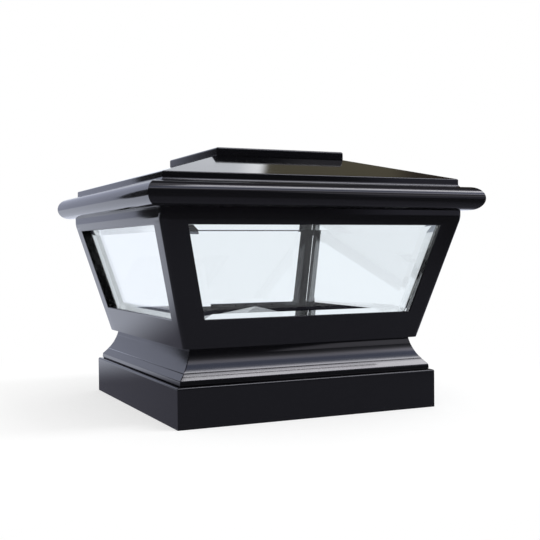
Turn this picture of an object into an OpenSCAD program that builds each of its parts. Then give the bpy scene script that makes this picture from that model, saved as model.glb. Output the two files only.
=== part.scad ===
// Deck post cap light: a cast base that slips over a square post, a lantern
// frame with four bevelled panes, a low pyramid roof with a bullnose edge, and
// a solar module that lifts out of the roof with its battery, board and lamp.
// Millimetres, +Z up. The origin is the centre of the skirt's bottom edge, and
// the front of the lantern looks along -Y.

/* [Post and base] */
// Width of the square post sleeve that the cap slips over
post_w = 152.4; // [130:0.1:170]
// Clearance between the post and the skirt on each side
post_gap = 1.3; // [0.5:0.1:3]
// Thickness of the skirt
skirt_wall = 2.5; // [2:0.1:4]
// Height of the skirt
skirt_h = 22.1; // [16:0.1:40]
// Radius of the skirt's upright corners
skirt_corner_r = 2; // [0.5:0.1:5]
// Radius of the skirt's top edge
skirt_edge_r = 1; // [0.3:0.1:1.5]
// Thickness of the ledge that rests on the top of the post
stop_t = 2; // [1.5:0.1:4]
// How far the lip sits in from the skirt
lip_inset = 2.75; // [2:0.05:5]
// Height of the lip above the skirt
lip_h = 3; // [2:0.1:8]
// Depth and height of the fine groove at the foot of the lip
lip_groove = 0.6; // [0.3:0.1:1]
// Height of the cove above the lip
cove_h = 16.1; // [12:0.1:24]
// How far the cove draws in
cove_in = 8.75; // [5:0.05:12]
// Radius of the cove
cove_r = 28.8; // [20:0.1:60]
// Thickness of the cove wall and of the deck on top
base_wall = 3; // [2:0.1:4]
// Thickness of the stiffening ribs under the deck
rib_t = 2.5; // [1.5:0.1:4]
// Depth of the stiffening ribs and of the screw bosses under the deck
rib_h = 6; // [3:0.1:8]

/* [Lantern frame] */
// How far the foot of the lantern stands out past the top of the cove
foot_out = 4; // [2:0.1:6]
// Outward lean of the four walls, in degrees
lean = 15.1; // [8:0.1:20]
// Height of the leaning walls, from foot to knee
wall_h = 69.6; // [66:0.1:90]
// Height of the upright fascia above the knee
fascia_h = 4.6; // [3.5:0.1:10]
// Radius that softens the knee
knee_r = 16; // [4:1:24]
// Thickness of the frame's walls
frame_wall = 5.5; // [4:0.1:6.5]
// Radius of the frame's four outer corners
frame_corner_r = 4; // [1:0.1:6]
// Level width of the stile at each side of a window
stile_w = 13.5; // [12:0.1:20]
// Height of the rail below each window
sill_h = 15.4; // [13:0.1:18]
// Height of each window
window_h = 49.8; // [36:0.1:51]
// Thickness of the flange at the foot
flange_t = 3; // [2:0.1:4]
// Level width of the flange at the foot
flange_w = 24.5; // [22:0.1:32]
// Thickness of the ledge that the panes stand on
ledge_t = 2.2; // [1.5:0.1:3]
// Thickness of the rib that parts two panes in each corner
corner_rib_t = 3.6; // [2.5:0.1:4]
// Radius of the lug for each roof screw
lug_r = 5.2; // [4.5:0.1:7]
// Thickness of the lug for each roof screw
lug_t = 2.6; // [2.4:0.1:4]

/* [Glass] */
// Thickness of the panes
glass_t = 4; // [3:0.1:5]
// Width of the bevel round each pane
bevel_w = 11; // [6:0.1:14]
// How much thinner a pane is at its edge
bevel_drop = 2.1; // [0.5:0.1:2.4]
// How far a pane reaches behind each stile
lap_side = 3; // [2:0.1:4]
// How far a pane reaches down behind the rail below it
lap_sill = 5; // [3:0.1:6]
// How far a pane reaches up past the top of its window
lap_head = 8; // [6:0.1:9]

/* [Lantern floor and ceiling] */
// Thickness of the floor pyramid's sheet
floor_t = 1.2; // [0.8:0.1:2]
// Rise of the floor pyramid from its rim to its point
floor_rise = 13; // [5:0.1:20]
// Width of the floor pyramid's flat rim
floor_rim_w = 4.8; // [2:0.1:10]
// Thickness of the ceiling plate
ceiling_t = 1.5; // [1:0.1:2]
// Clearance round a loose plate
plate_gap = 0.5; // [0.3:0.1:1]

/* [Roof] */
// Width of the flat soffit outside the lantern frame
soffit_w = 3.5; // [2:0.1:12]
// Radius of the bullnose round the eaves
bullnose_r = 6.7; // [4:0.1:10]
// How far the plinth stands in from the frame's fascia
plinth_in = 1.1; // [0:0.1:3]
// Height of the plinth above the bullnose
plinth_h = 4.8; // [3:0.1:10]
// Radius of the fillet at the foot of the plinth
plinth_fillet_r = 1.2; // [0.5:0.1:2]
// Pitch of the roof, in degrees
roof_pitch = 15.84; // [12:0.01:24]
// Thickness of the roof's walls
roof_wall = 2.6; // [2:0.1:3]
// Radius of the boss for each roof screw
roof_boss_r = 4.5; // [4:0.1:6]

/* [Solar module] */
// Height of the bezel above the roof's flat top
bezel_h = 4.9; // [4.3:0.1:8]
// Thickness of the bezel's walls
bezel_wall = 2; // [1.5:0.1:2.5]
// Thickness of the bezel's lip over the panel
bezel_lip_t = 1.2; // [0.8:0.1:1.6]
// Width of the window in the bezel
bezel_window_w = 67; // [66:0.1:72]
// How far the panel's cover glass reaches past the window in the bezel
cover_lap = 1.5; // [1:0.1:2]
// Thickness of the seal between cover glass and bezel
cover_seal_t = 0.5; // [0.3:0.1:0.8]
// How far the housing's wall stands in from the edge of the cover glass
tub_inset = 1; // [0.5:0.1:1.5]
// Depth of the housing below the roof's flat top
tub_depth = 27.5; // [27:0.1:30]
// Thickness of the housing's walls
tub_wall = 2; // [1.2:0.1:2.4]
// Thickness of the housing's floor
tub_floor = 3; // [2.8:0.1:4]
// Radius of the housing's upright corners
tub_corner_r = 3; // [1:0.1:5]
// Thickness of the housing's flange, which rests on the roof
tub_flange_t = 1.2; // [1.1:0.1:1.6]
// Clearance between the housing and the hole in the roof
tub_gap = 1; // [0.5:0.1:1.5]
// Thickness of the solar cell board
cell_board_t = 1.5; // [1:0.1:2]
// Clearance round the boards inside the housing
board_gap = 0.5; // [0.3:0.1:2]
// Thickness of the circuit boards
board_t = 1.6; // [1:0.1:2]

/* [Battery and door] */
// Diameter of the battery
battery_d = 14.5; // [13:0.1:14.5]
// Length of the battery with its terminal
battery_l = 50.5; // [44:0.1:51]
// Length of the spring at the battery's negative end
spring_l = 4; // [3:0.1:5]
// Thickness of the battery's contact plates
contact_t = 0.5; // [0.3:0.1:0.8]
// Distance of the battery's centre line from the module's centre
battery_x = 20; // [19.8:0.1:20.5]
// Thickness of the battery bay's walls
bay_wall = 1.6; // [1.2:0.1:2]
// Thickness of the battery bay's ceiling, which carries the control board
bay_top_t = 2; // [1.5:0.1:3]
// Clearance above the battery
bay_gap = 0.9; // [0.5:0.1:1.5]
// Distance of the hinge from the module's centre
hinge_x = 29.9; // [29.6:0.1:30]
// Diameter of the door's hinge pin
pin_d = 1.6; // [1.2:0.1:1.8]
// Clearance between the hinge pin and the door's knuckle
pin_gap = 0.05; // [0.02:0.01:0.1]
// Radius of the door's knuckle
knuckle_r = 1.7; // [1.5:0.05:1.75]
// Length of the door's knuckle
knuckle_l = 42; // [30:0.5:44]
// Length of each hinge lug on the housing
hinge_lug_l = 3.6; // [2:0.1:4]
// Thickness of the door
door_t = 1.6; // [1.2:0.1:1.7]
// Clearance round the door
door_gap = 0.3; // [0.2:0.05:0.5]
// Level width of the ledge that stops the door at each end
door_ledge_w = 1.2; // [0.6:0.1:1.4]

/* [Lamp and switch] */
// Radius of the lens dome where it passes the floor of the housing
lens_r = 8; // [6:0.1:8.2]
// Height of the lens dome below the housing
lens_drop = 3.5; // [2:0.1:6]
// Wall thickness of the lens
lens_wall = 1.2; // [0.8:0.1:2]
// Width of the lens flange outside the dome
lens_flange_w = 1.5; // [1:0.1:1.7]
// Length of the lamp board
lamp_board_l = 32; // [30:0.5:40]
// Width of the lamp board
lamp_board_w = 18; // [16:0.5:19]
// Distance between the two lamp board screws
lamp_screw_span = 26; // [24:0.5:28]
// Distance of the switch from the module's centre
switch_x = 22; // [20:0.1:23]
// Length of the switch body
switch_l = 13; // [12:0.1:16]
// Width of the switch body
switch_w = 9; // [8:0.1:10]
// Height of the switch body
switch_h = 5; // [4:0.1:7]
// Travel of the switch knob
switch_travel = 3; // [2:0.1:4]
// Width of the switch knob
knob_w = 3.6; // [3:0.1:5]
// Length of the switch knob along its travel
knob_l = 4; // [3:0.1:5]
// Clearance round the switch knob
knob_gap = 0.3; // [0.2:0.05:0.5]
// How far the switch knob stands out below the housing
knob_out = 1.4; // [0.5:0.1:3]
// Radius of the wires
wire_r = 0.6; // [0.5:0.05:0.8]

/* [Screws] */
// Diameter of the screws that hold the lantern and the roof
case_screw_d = 4; // [3:0.1:4.5]
// Head diameter of the screws that hold the lantern and the roof
case_head_d = 7.6; // [7:0.1:8.5]
// Height of their heads
case_head_h = 2.3; // [2:0.1:2.4]
// Length of thread that the roof screws have in the roof
roof_grip = 10; // [6:0.5:12]
// Diameter of the module's small screws
small_screw_d = 2; // [1.6:0.1:2.2]
// Head diameter of the module's small screws
small_head_d = 3.8; // [3:0.1:4]
// Height of their heads
small_head_h = 1.1; // [0.8:0.05:1.1]
// Clearance round a screw in its hole
screw_gap = 0.05; // [0.02:0.01:0.1]
// Distance of the base screws from the lantern foot's outer face
base_screw_in = 18.5; // [17:0.1:19]

/* [Seals] */
// Depth of the seals between the castings
seal_t = 0.8; // [0.5:0.1:1.2]
// Width of the seal between base and lantern
base_seal_w = 3; // [2:0.1:4]
// Width of the seal between lantern and roof
roof_seal_w = 1.4; // [1:0.1:2]

/* [Hidden] */
$fn = 48;
arc_fn = 144;
cut = 1;
overlap = 0.1;
weld = 0.2;
pane_gap = 0.1;
ledge_lip = 0.6;
lug_gap = 1;
play = 0.3;
boss_gap = 0.2;
hole_room = 1;
screw_end_room = 0.4;
bay_floor_gap = 0.55;
bay_side_gap = 0.65;
door_end_lap = 0.4;
door_tip_in = 0.6;
post_in_x = 3;
post_in_y = 5;

paint = "#1c1c20";
sheet_steel = "#b9bcc0";
clear_glass = [0.85, 0.92, 0.97, 0.4];
dark_plastic = "#2a2b2e";
rubber = "#3a3a3c";
board_green = "#1f6b3a";

// Base
skirt_half = post_w / 2 + post_gap + skirt_wall;
socket_half = skirt_half - skirt_wall;
lip_half = skirt_half - lip_inset;
lip_top_z = skirt_h + lip_h;
deck_half = lip_half - cove_in;
deck_top_z = lip_top_z + cove_h;
deck_under_z = deck_top_z - base_wall;
stop_z = skirt_h - stop_t;

// Lantern frame
foot_half = deck_half + foot_out;
foot_z = deck_top_z;
knee_z = foot_z + wall_h;
knee_half = foot_half + wall_h * tan(lean);
frame_top_z = knee_z + fascia_h;
flange_top_z = foot_z + flange_t;
flange_in_half = foot_half - flange_w;
base_screw_at = foot_half - base_screw_in;
sill_v = sill_h / cos(lean);
head_v = (sill_h + window_h) / cos(lean);
pane_foot_v = sill_v - lap_sill;
pane_head_v = head_v + lap_head;
ledge_top_z = foot_z + pane_foot_v * cos(lean) + frame_wall * sin(lean) - pane_gap;
ledge_half = wall_in(ledge_top_z) - glass_t / cos(lean) - ledge_lip;
corner_pocket = stile_w - lap_side - frame_wall * cos(lean);
rib_foot_d = sqrt(2) * (wall_in(flange_top_z) - corner_pocket);
lug_top_z = frame_top_z - ceiling_t;
lug_under_z = lug_top_z - lug_t;
lug_at = pane_in(lug_under_z) - lug_r - lug_gap;

// Roof
bullnose_half = knee_half + soffit_w;
bullnose_z = frame_top_z + bullnose_r;
roof_tip_half = bullnose_half + bullnose_r;
eaves_top_z = bullnose_z + bullnose_r;
plinth_half = knee_half - plinth_in;
plinth_top_z = eaves_top_z + plinth_h;
cover_half = bezel_window_w / 2 + cover_lap;
bezel_boss_r = small_screw_d;
bezel_screw_at = cover_half + boss_gap + bezel_boss_r;
bezel_in = bezel_screw_at + bezel_boss_r;
bezel_half = bezel_in + bezel_wall;
land_z = plinth_top_z + (plinth_half - bezel_half) * tan(roof_pitch);
attic_half = plinth_half - roof_wall;
attic_top_z = land_z - roof_wall;
attic_top_half = plinth_half - (attic_top_z - roof_under(plinth_half)) / tan(roof_pitch);

// Solar module
tub_half = cover_half - tub_inset;
tub_in = tub_half - tub_wall;
hatch_half = tub_half + tub_gap;
bezel_top_z = land_z + bezel_h;
bezel_lip_z = bezel_top_z - bezel_lip_t;
flange_out_half = bezel_in - play;
tub_rim_z = land_z + tub_flange_t;
cover_top_z = bezel_lip_z - cover_seal_t;
tub_z = land_z - tub_depth;
tub_floor_z = tub_z + tub_floor;
battery_z = tub_floor_z + bay_floor_gap + battery_d / 2;
bay_top_z = battery_z + battery_d / 2 + bay_gap;
board_z = bay_top_z + bay_top_t;
board_half = tub_in - board_gap;
cell_board_z = tub_rim_z - cell_board_t;
bay_half_l = (battery_l + spring_l) / 2 + contact_t;
bay_in_x = battery_x - battery_d / 2 - bay_side_gap;
hinge_z = tub_z + door_gap + door_t / 2;
knuckle_slot_r = knuckle_r + door_gap;
knuckle_half_l = knuckle_l / 2;
lug_half_l = knuckle_half_l + door_gap + hinge_lug_l;
door_half_l = bay_half_l + door_end_lap;
door_tip_x = bay_in_x + door_tip_in;
door_ledge_z = tub_z + door_gap + door_t + door_gap;
lamp_board_z = tub_floor_z + lens_wall;
lamp_screw_at = lamp_screw_span / 2;
knob_rest_y = -(knob_l + switch_travel) / 2;
board_post_x = board_half - post_in_x;
board_post_y = board_half - post_in_y;

// Half width of the frame's inner face at height z
function wall_in(z) = foot_half + (z - foot_z) * tan(lean) - frame_wall / cos(lean);

// Half width of the panes' inner face at height z
function pane_in(z) = wall_in(z) - glass_t / cos(lean);

// Half width of a wall's outer face, v up along its lean
function wall_out(v) = foot_half + v * sin(lean);

// Height of the roof's under side at half width w
function roof_under(w) =
    plinth_top_z - roof_wall / cos(roof_pitch) + (plinth_half - w) * tan(roof_pitch);

// Outline points and their mirror images, as one closed outline
function both(pts) = concat(pts, [for (i = [len(pts) - 1:-1:0]) [-pts[i][0], pts[i][1]]]);

// Points on an arc about c from angle a0 to a1
function arc(c, r, a0, a1, n) =
    [for (i = [0:n]) let (a = a0 + (a1 - a0) * i / n) c + r * [cos(a), sin(a)]];

// Faces of a closed tube of rings of points, wound the right-hand way
function tube_faces(rings, sides) = concat(
    [[for (j = [sides - 1:-1:0]) j]],
    [for (i = [0:rings - 1]) for (j = [0:sides - 1]) let (n = (j + 1) % sides, b = i * sides)
        each [[b + j, b + n, b + sides + n], [b + j, b + sides + n, b + sides + j]]],
    [[for (j = [0:sides - 1]) rings * sides + j]]
);

// Centre of an arc of radius r from p up to q, on the outer side
function arc_centre(p, q, r) =
    let (d = q - p, l = norm(d), h = sqrt(r * r - l * l / 4))
    (p + q) / 2 + h / l * [d[1], -d[0]];

// ---- Shared shapes ----

module both_sides() {
    children();
    mirror([1, 0]) children();
}

// A solid that is square at every level: the outline gives half width
// against height
module square_form(reach) {
    intersection() {
        rotate([90, 0, 0]) linear_extrude(2 * reach, center = true) children();
        rotate([90, 0, 90]) linear_extrude(2 * reach, center = true) children();
    }
}

module rounded_square(half, r) {
    square([2 * half, 2 * (half - r)], center = true);
    square([2 * (half - r), 2 * half], center = true);
    at_corners(half - r) circle(r);
}

module at_corners(at) {
    for (x = [-at, at], y = [-at, at]) translate([x, y]) children();
}

module square_plate(half, z, h) {
    translate([-half, -half, z]) cube([2 * half, 2 * half, h]);
}

// A flat square ring between two half widths
module square_ring(in_half, out_half, z, h) {
    difference() {
        square_plate(out_half, z, h);
        square_plate(in_half, z - cut, h + 2 * cut);
    }
}

module box(x0, x1, y0, y1, z0, z1) {
    translate([x0, y0, z0]) cube([x1 - x0, y1 - y0, z1 - z0]);
}

// A wire that rises from z0 to z1 and drifts sideways by jog on the way
module riser(x, y, z0, z1, jog) {
    rings = 12;
    sides = 8;
    path = [for (i = [0:rings]) let (t = i / rings) [jog * t * t * (3 - 2 * t), z0 + (z1 - z0) * t]];
    slope = [for (i = [0:rings]) let (t = i / rings) atan2(6 * jog * t * (1 - t), z1 - z0)];
    points = [for (i = [0:rings]) for (j = [0:sides - 1]) let (out = wire_r * cos(360 * j / sides))
        [
            x + path[i][0] + out * cos(slope[i]),
            y + wire_r * sin(360 * j / sides),
            path[i][1] - out * sin(slope[i])
        ]];
    polyhedron(points, tube_faces(rings, sides));
}

// The hex socket in a screw's head, as a share of the screw's diameter and of
// the head's height
hex_share = 0.7;
sunk_hex_share = 0.5;
pan_hex_share = 0.6;
// A pan head's upright rim and its top, as shares of the head's height and width
pan_rim_share = 0.6;
pan_top_share = 0.75;

// A countersunk screw that points up, its flat head at z = 0
module sunk_screw(d, head_d, head_h, l) {
    difference() {
        union() {
            cylinder(h = head_h, d1 = head_d, d2 = d);
            cylinder(h = l, d = d);
        }
        translate([0, 0, -cut]) cylinder(h = cut + head_h * sunk_hex_share, d = d * hex_share, $fn = 6);
    }
}

// The hole for such a screw
module sunk_hole(d, head_d, head_h, l) {
    cylinder(h = head_h, d1 = head_d + 2 * screw_gap, d2 = d + 2 * screw_gap);
    translate([0, 0, -cut]) cylinder(h = cut, d = head_d + 2 * screw_gap);
    cylinder(h = l, d = d + 2 * screw_gap);
}

// A pan head screw that points up, the seat of its head at z = 0
module pan_screw(d, head_d, head_h, l) {
    rim_h = head_h * pan_rim_share;
    difference() {
        union() {
            translate([0, 0, -rim_h]) cylinder(h = rim_h, d = head_d);
            translate([0, 0, -head_h])
                cylinder(h = head_h - rim_h, d1 = head_d * pan_top_share, d2 = head_d);
            cylinder(h = l, d = d);
        }
        translate([0, 0, -head_h - cut])
            cylinder(h = cut + head_h * pan_hex_share, d = d * hex_share, $fn = 6);
    }
}

// ---- Base ----

cove_centre = arc_centre([lip_half, lip_top_z], [deck_half, deck_top_z], cove_r);

module base_outline() {
    edge_centre = [skirt_half - skirt_edge_r, skirt_h - skirt_edge_r];
    skirt = concat([[skirt_half, 0]], arc(edge_centre, skirt_edge_r, 0, 90, 6));
    groove = [
        [lip_half, skirt_h],
        [lip_half - lip_groove, skirt_h + lip_groove / 2],
        [lip_half, skirt_h + lip_groove]
    ];
    top = [[lip_half, lip_top_z], [lip_half, deck_top_z]];
    difference() {
        polygon(both(concat(skirt, groove, top)));
        both_sides() translate(cove_centre) circle(cove_r, $fn = arc_fn);
    }
}

module base_hollow_outline() {
    step_half = lip_half - base_wall;
    difference() {
        polygon(both([
            [socket_half, -cut], [socket_half, stop_z],
            [step_half, stop_z], [step_half, deck_under_z]
        ]));
        both_sides() translate(cove_centre) circle(cove_r + base_wall, $fn = arc_fn);
    }
}

module post_base() {
    reach = skirt_half + cut;
    rib_under_z = deck_under_z - rib_h;
    color(paint) difference() {
        union() {
            difference() {
                intersection() {
                    square_form(reach) base_outline();
                    translate([0, 0, -cut]) linear_extrude(deck_top_z + 2 * cut)
                        rounded_square(skirt_half, skirt_corner_r);
                }
                square_form(reach) base_hollow_outline();
            }
            // Ribs and screw bosses under the deck
            for (turn = [0, 90]) rotate([0, 0, turn]) for (side = [-1, 1])
                translate([-deck_half + base_wall, side * base_screw_at - rib_t / 2, rib_under_z])
                    cube([2 * (deck_half - base_wall), rib_t, rib_h + cut]);
            at_corners(base_screw_at) translate([0, 0, rib_under_z])
                cylinder(h = rib_h + cut, r = case_head_d / 2 + lug_gap);
        }
        at_corners(base_screw_at) translate([0, 0, rib_under_z - cut])
            cylinder(h = rib_h + base_wall + 2 * cut, d = case_screw_d + 2 * screw_gap);
        square_ring(base_seal_in, base_seal_in + base_seal_w, deck_top_z - seal_t, seal_t + cut);
    }
}

base_seal_in = deck_half - 2 * base_seal_w;

module base_seal() {
    color(rubber) square_ring(base_seal_in, base_seal_in + base_seal_w, deck_top_z - seal_t, seal_t);
}

module base_screws() {
    seat_z = deck_under_z - rib_h;
    color(sheet_steel) at_corners(base_screw_at) translate([0, 0, seat_z])
        pan_screw(case_screw_d, case_head_d, case_head_h, flange_top_z - seat_z);
}

// ---- Lantern frame ----

// Places its children on wall k in the wall's own plane: x along the wall, y up
// its lean from the foot's outer edge, and z outwards
module on_wall(k) {
    rotate([0, 0, 90 * k]) translate([0, -foot_half, foot_z]) rotate([90 + lean, 0, 0]) children();
}

// The window outline in the plane of its wall
function window_corners() = [
    [-wall_out(sill_v) + stile_w, sill_v], [wall_out(sill_v) - stile_w, sill_v],
    [wall_out(head_v) - stile_w, head_v], [-wall_out(head_v) + stile_w, head_v]
];

module frame_outline() {
    turn = lean / 2;
    knee_centre = [
        knee_half - knee_r,
        knee_z + knee_r * tan(turn)
    ];
    polygon(both(concat(
        [[foot_half, foot_z]],
        arc(knee_centre, knee_r, -lean, 0, 6),
        [[knee_half, frame_top_z]]
    )));
}

// Rounds one leaning corner of the frame. The cutter's arc bites a little into
// both walls, so that it crosses them and doesn't only touch
module corner_round(r) {
    bite = 0.02;
    half_angle = (180 - acos(pow(sin(lean), 2))) / 2;
    tilt = atan(sqrt(2) * tan(lean));
    touch = (r - bite) / tan(half_angle);
    centre = [-(r - bite) / sin(half_angle), 0];
    shoulder = [
        r * sin(half_angle) - touch * cos(half_angle),
        r * cos(half_angle) + touch * sin(half_angle)
    ];
    translate([foot_half, foot_half, foot_z]) rotate([0, tilt, 45])
        translate([0, 0, -2 * r]) linear_extrude(wall_h / cos(tilt) + 3 * r) difference() {
            polygon([centre, [shoulder[0], -shoulder[1]], [2 * r, 0], shoulder]);
            translate(centre) circle(r);
        }
}

module frame_body() {
    difference() {
        intersection() {
            square_form(knee_half + cut) frame_outline();
            translate([0, 0, foot_z - cut]) linear_extrude(frame_top_z - foot_z + 2 * cut)
                rounded_square(knee_half, frame_corner_r);
        }
        for (k = [0:3]) rotate([0, 0, 90 * k]) corner_round(frame_corner_r);
    }
}

// The room inside the frame, with the ledge that the panes stand on
module frame_hollow_outline() {
    ledge_under_z = ledge_top_z - ledge_t;
    top_z = frame_top_z + cut;
    polygon(both([
        [flange_in_half, foot_z - cut], [flange_in_half, flange_top_z],
        [wall_in(flange_top_z), flange_top_z], [wall_in(ledge_under_z), ledge_under_z],
        [ledge_half, ledge_under_z], [ledge_half, ledge_top_z],
        [wall_in(ledge_top_z), ledge_top_z], [wall_in(top_z), top_z]
    ]));
}

// The upright rib in one corner, between two panes, with the roof screw's lug
module corner_rib() {
    rib_head_d = sqrt(2) * (wall_in(lug_top_z) - corner_pocket);
    lug_d = sqrt(2) * lug_at;
    rotate([90, 0, 45]) linear_extrude(corner_rib_t, center = true) polygon([
        [rib_foot_d, flange_top_z], [sqrt(2) * wall_in(flange_top_z) + cut, flange_top_z],
        [sqrt(2) * wall_in(lug_top_z) + cut, lug_top_z], [rib_head_d, lug_top_z]
    ]);
    translate([lug_at, lug_at, lug_under_z]) cylinder(h = lug_t, r = lug_r);
    rotate([0, 0, 45]) translate([lug_d, -corner_rib_t / 2, lug_under_z])
        cube([rib_head_d - lug_d + cut / 2, corner_rib_t, lug_t]);
}

module lantern_frame() {
    color(paint) difference() {
        union() {
            difference() {
                frame_body();
                square_form(knee_half + cut) frame_hollow_outline();
            }
            for (k = [0:3]) rotate([0, 0, 90 * k]) corner_rib();
        }
        for (k = [0:3]) on_wall(k) translate([0, 0, -frame_wall - cut])
            linear_extrude(frame_wall + 2 * cut) polygon(window_corners());
        at_corners(lug_at) translate([0, 0, lug_under_z])
            sunk_hole(case_screw_d, case_head_d, case_head_h, lug_t + cut);
        at_corners(base_screw_at) translate([0, 0, foot_z - cut])
            cylinder(h = flange_t + 2 * cut, d = case_screw_d + 2 * screw_gap);
        square_ring(roof_seal_in, roof_seal_in + roof_seal_w, frame_top_z - seal_t, seal_t + cut);
    }
}

roof_seal_in = (attic_half + knee_half - roof_seal_w) / 2;

module roof_seal() {
    color(rubber) square_ring(roof_seal_in, roof_seal_in + roof_seal_w, frame_top_z - seal_t, seal_t);
}

module floor_pyramid() {
    rim_half = ledge_half - plate_gap;
    slope_half = rim_half - floor_rim_w;
    rim_z = flange_top_z + floor_t;
    apex_z = rim_z + floor_rise;
    right = [[rim_half, flange_top_z], [rim_half, rim_z], [slope_half, rim_z]];
    color(paint) difference() {
        square_form(rim_half + cut) polygon(concat(right, [[0, apex_z]], [
            for (i = [len(right) - 1:-1:0]) [-right[i][0], right[i][1]]
        ]));
        square_form(rim_half + cut) polygon([
            [slope_half, flange_top_z - cut], [slope_half, flange_top_z],
            [0, apex_z - floor_t], [-slope_half, flange_top_z], [-slope_half, flange_top_z - cut]
        ]);
        // Notches round the frame's corner ribs
        for (k = [0:3]) rotate([0, 0, 90 * k + 45])
            translate([rib_foot_d - plate_gap, -corner_rib_t / 2 - plate_gap, flange_top_z - cut])
                cube([rim_half, corner_rib_t + 2 * plate_gap, floor_t + 2 * cut]);
    }
}

// ---- Glass ----

// A pane's outline, set in from its edge by inset, at depth z
function pane_ring(inset, z) =
    let (
        foot_v = pane_foot_v + inset,
        head_v = pane_head_v - inset,
        side = stile_w - lap_side + inset * sqrt(1 + pow(sin(lean), 2)),
        foot = wall_out(foot_v) - side,
        head = wall_out(head_v) - side
    )
    [[-foot, foot_v, z], [foot, foot_v, z], [head, head_v, z], [-head, head_v, z]];

// A pane behind the window of wall k, bevelled on its inner face
module pane(k) {
    inner_z = -frame_wall - glass_t;
    color(clear_glass) on_wall(k) polyhedron(concat(
        pane_ring(bevel_w, inner_z),
        pane_ring(0, inner_z + bevel_drop),
        pane_ring(0, -frame_wall)
    ), tube_faces(2, 4));
}

module ceiling_plate() {
    color("gainsboro") difference() {
        square_plate(pane_in(lug_top_z) - plate_gap, lug_top_z, ceiling_t);
        square_plate(hatch_half + hole_room, lug_top_z - cut, ceiling_t + 2 * cut);
        at_corners(lug_at) translate([0, 0, lug_top_z - cut])
            cylinder(h = ceiling_t + 2 * cut, d = case_screw_d + 2 * screw_gap);
    }
}

// ---- Roof ----

module roof_outline() {
    fillet_centre = [plinth_half + plinth_fillet_r, eaves_top_z + plinth_fillet_r];
    polygon(both(concat(
        [[bullnose_half, frame_top_z], [bullnose_half, eaves_top_z]],
        arc(fillet_centre, plinth_fillet_r, 270, 180, 6),
        [[plinth_half, plinth_top_z], [bezel_half, land_z]]
    )));
    both_sides() translate([bullnose_half, bullnose_z]) circle(bullnose_r, $fn = arc_fn / 2);
}

module attic_outline() {
    polygon(both([
        [attic_half, frame_top_z - cut], [attic_half, roof_under(attic_half)],
        [attic_top_half, attic_top_z]
    ]));
}

module roof_form() {
    square_form(roof_tip_half + cut) roof_outline();
}

module roof_shell() {
    screw_l = lug_t + ceiling_t + roof_grip + hole_room;
    color(paint) difference() {
        union() {
            difference() {
                roof_form();
                square_form(roof_tip_half + cut) attic_outline();
                square_plate(hatch_half, attic_top_z - cut, roof_wall + 2 * cut);
            }
            // Bosses for the roof screws
            intersection() {
                roof_form();
                at_corners(lug_at) translate([0, 0, frame_top_z])
                    cylinder(h = roof_under(lug_at - roof_boss_r) - frame_top_z, r = roof_boss_r);
            }
        }
        at_corners(lug_at) translate([0, 0, lug_under_z])
            cylinder(h = screw_l, d = case_screw_d + 2 * screw_gap);
    }
}

module roof_screws() {
    color(sheet_steel) at_corners(lug_at) translate([0, 0, lug_under_z])
        sunk_screw(case_screw_d, case_head_d, case_head_h, lug_t + ceiling_t + roof_grip);
}

// ---- Solar module ----

module solar_bezel() {
    edge = 0.6;
    corner_r = 1.5;
    screw_top_z = bezel_lip_z - screw_end_room;
    color(paint) difference() {
        union() {
            difference() {
                intersection() {
                    square_form(bezel_half + cut) polygon(both([
                        [bezel_half, land_z], [bezel_half, bezel_top_z - edge],
                        [bezel_half - edge, bezel_top_z]
                    ]));
                    translate([0, 0, land_z - cut]) linear_extrude(bezel_h + 2 * cut)
                        rounded_square(bezel_half, corner_r);
                }
                square_plate(bezel_in, land_z - cut, bezel_h - bezel_lip_t + cut);
                square_plate(bezel_window_w / 2, bezel_lip_z - cut, bezel_lip_t + 2 * cut);
            }
            // Screw bosses in the corners, above the housing's flange
            at_corners(bezel_screw_at) translate([0, 0, tub_rim_z])
                cylinder(h = bezel_lip_z - tub_rim_z + bezel_lip_t / 2, r = bezel_boss_r);
        }
        at_corners(bezel_screw_at) translate([0, 0, land_z - cut])
            cylinder(h = screw_top_z - land_z + cut, d = small_screw_d + 2 * screw_gap);
    }
}

module cover_seal() {
    color(rubber) square_ring(bezel_window_w / 2 + play, cover_half, cover_top_z, cover_seal_t);
}

module cover_glass() {
    color(clear_glass) square_plate(cover_half, tub_rim_z, cover_top_z - tub_rim_z);
}

module solar_cells() {
    color("#232a4a") square_plate(board_half, cell_board_z, cell_board_t);
}

// The hollow of the battery bay and everything that opens it from below
module bay_cuts() {
    // Room for the battery
    box(-tub_in, -bay_in_x, -bay_half_l, bay_half_l, tub_floor_z, bay_top_z);
    // The way out through the floor, beside the hinge
    box(-hinge_x + knuckle_slot_r + overlap, -bay_in_x - overlap,
        -door_half_l + door_ledge_w, door_half_l - door_ledge_w,
        tub_z - cut, tub_floor_z + cut);
    // The recess that the door closes into
    box(-hinge_x + knuckle_slot_r, -door_tip_x + door_gap,
        -door_half_l - door_gap, door_half_l + door_gap,
        tub_z - cut, door_ledge_z);
    // Room for the knuckle
    box(-hinge_x - knuckle_slot_r, -hinge_x + knuckle_slot_r + cut,
        -knuckle_half_l - door_gap, knuckle_half_l + door_gap,
        tub_z - cut, tub_floor_z + cut);
}

// A hinge lug under the floor, centred on the pin
module hinge_lug(y0) {
    r = knuckle_r + overlap;
    translate([-hinge_x, y0 + hinge_lug_l, hinge_z]) rotate([90, 0, 0]) cylinder(h = hinge_lug_l, r = r);
    box(-hinge_x - r, -hinge_x + r, y0, y0 + hinge_lug_l, hinge_z, tub_floor_z);
}

// The small sizes of the housing: the radius of its flange's corners, how much
// less the radius is inside, the board posts' wall past a screw head, and where
// the holes for the screws in the posts end
flange_corner_r = 1;
corner_step = 1;
post_lap = 0.6;
post_hole_l = 7;
lamp_hole_foot = 0.8;
tab_gap = 0.2;
tab_end_gap = 0.1;

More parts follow.
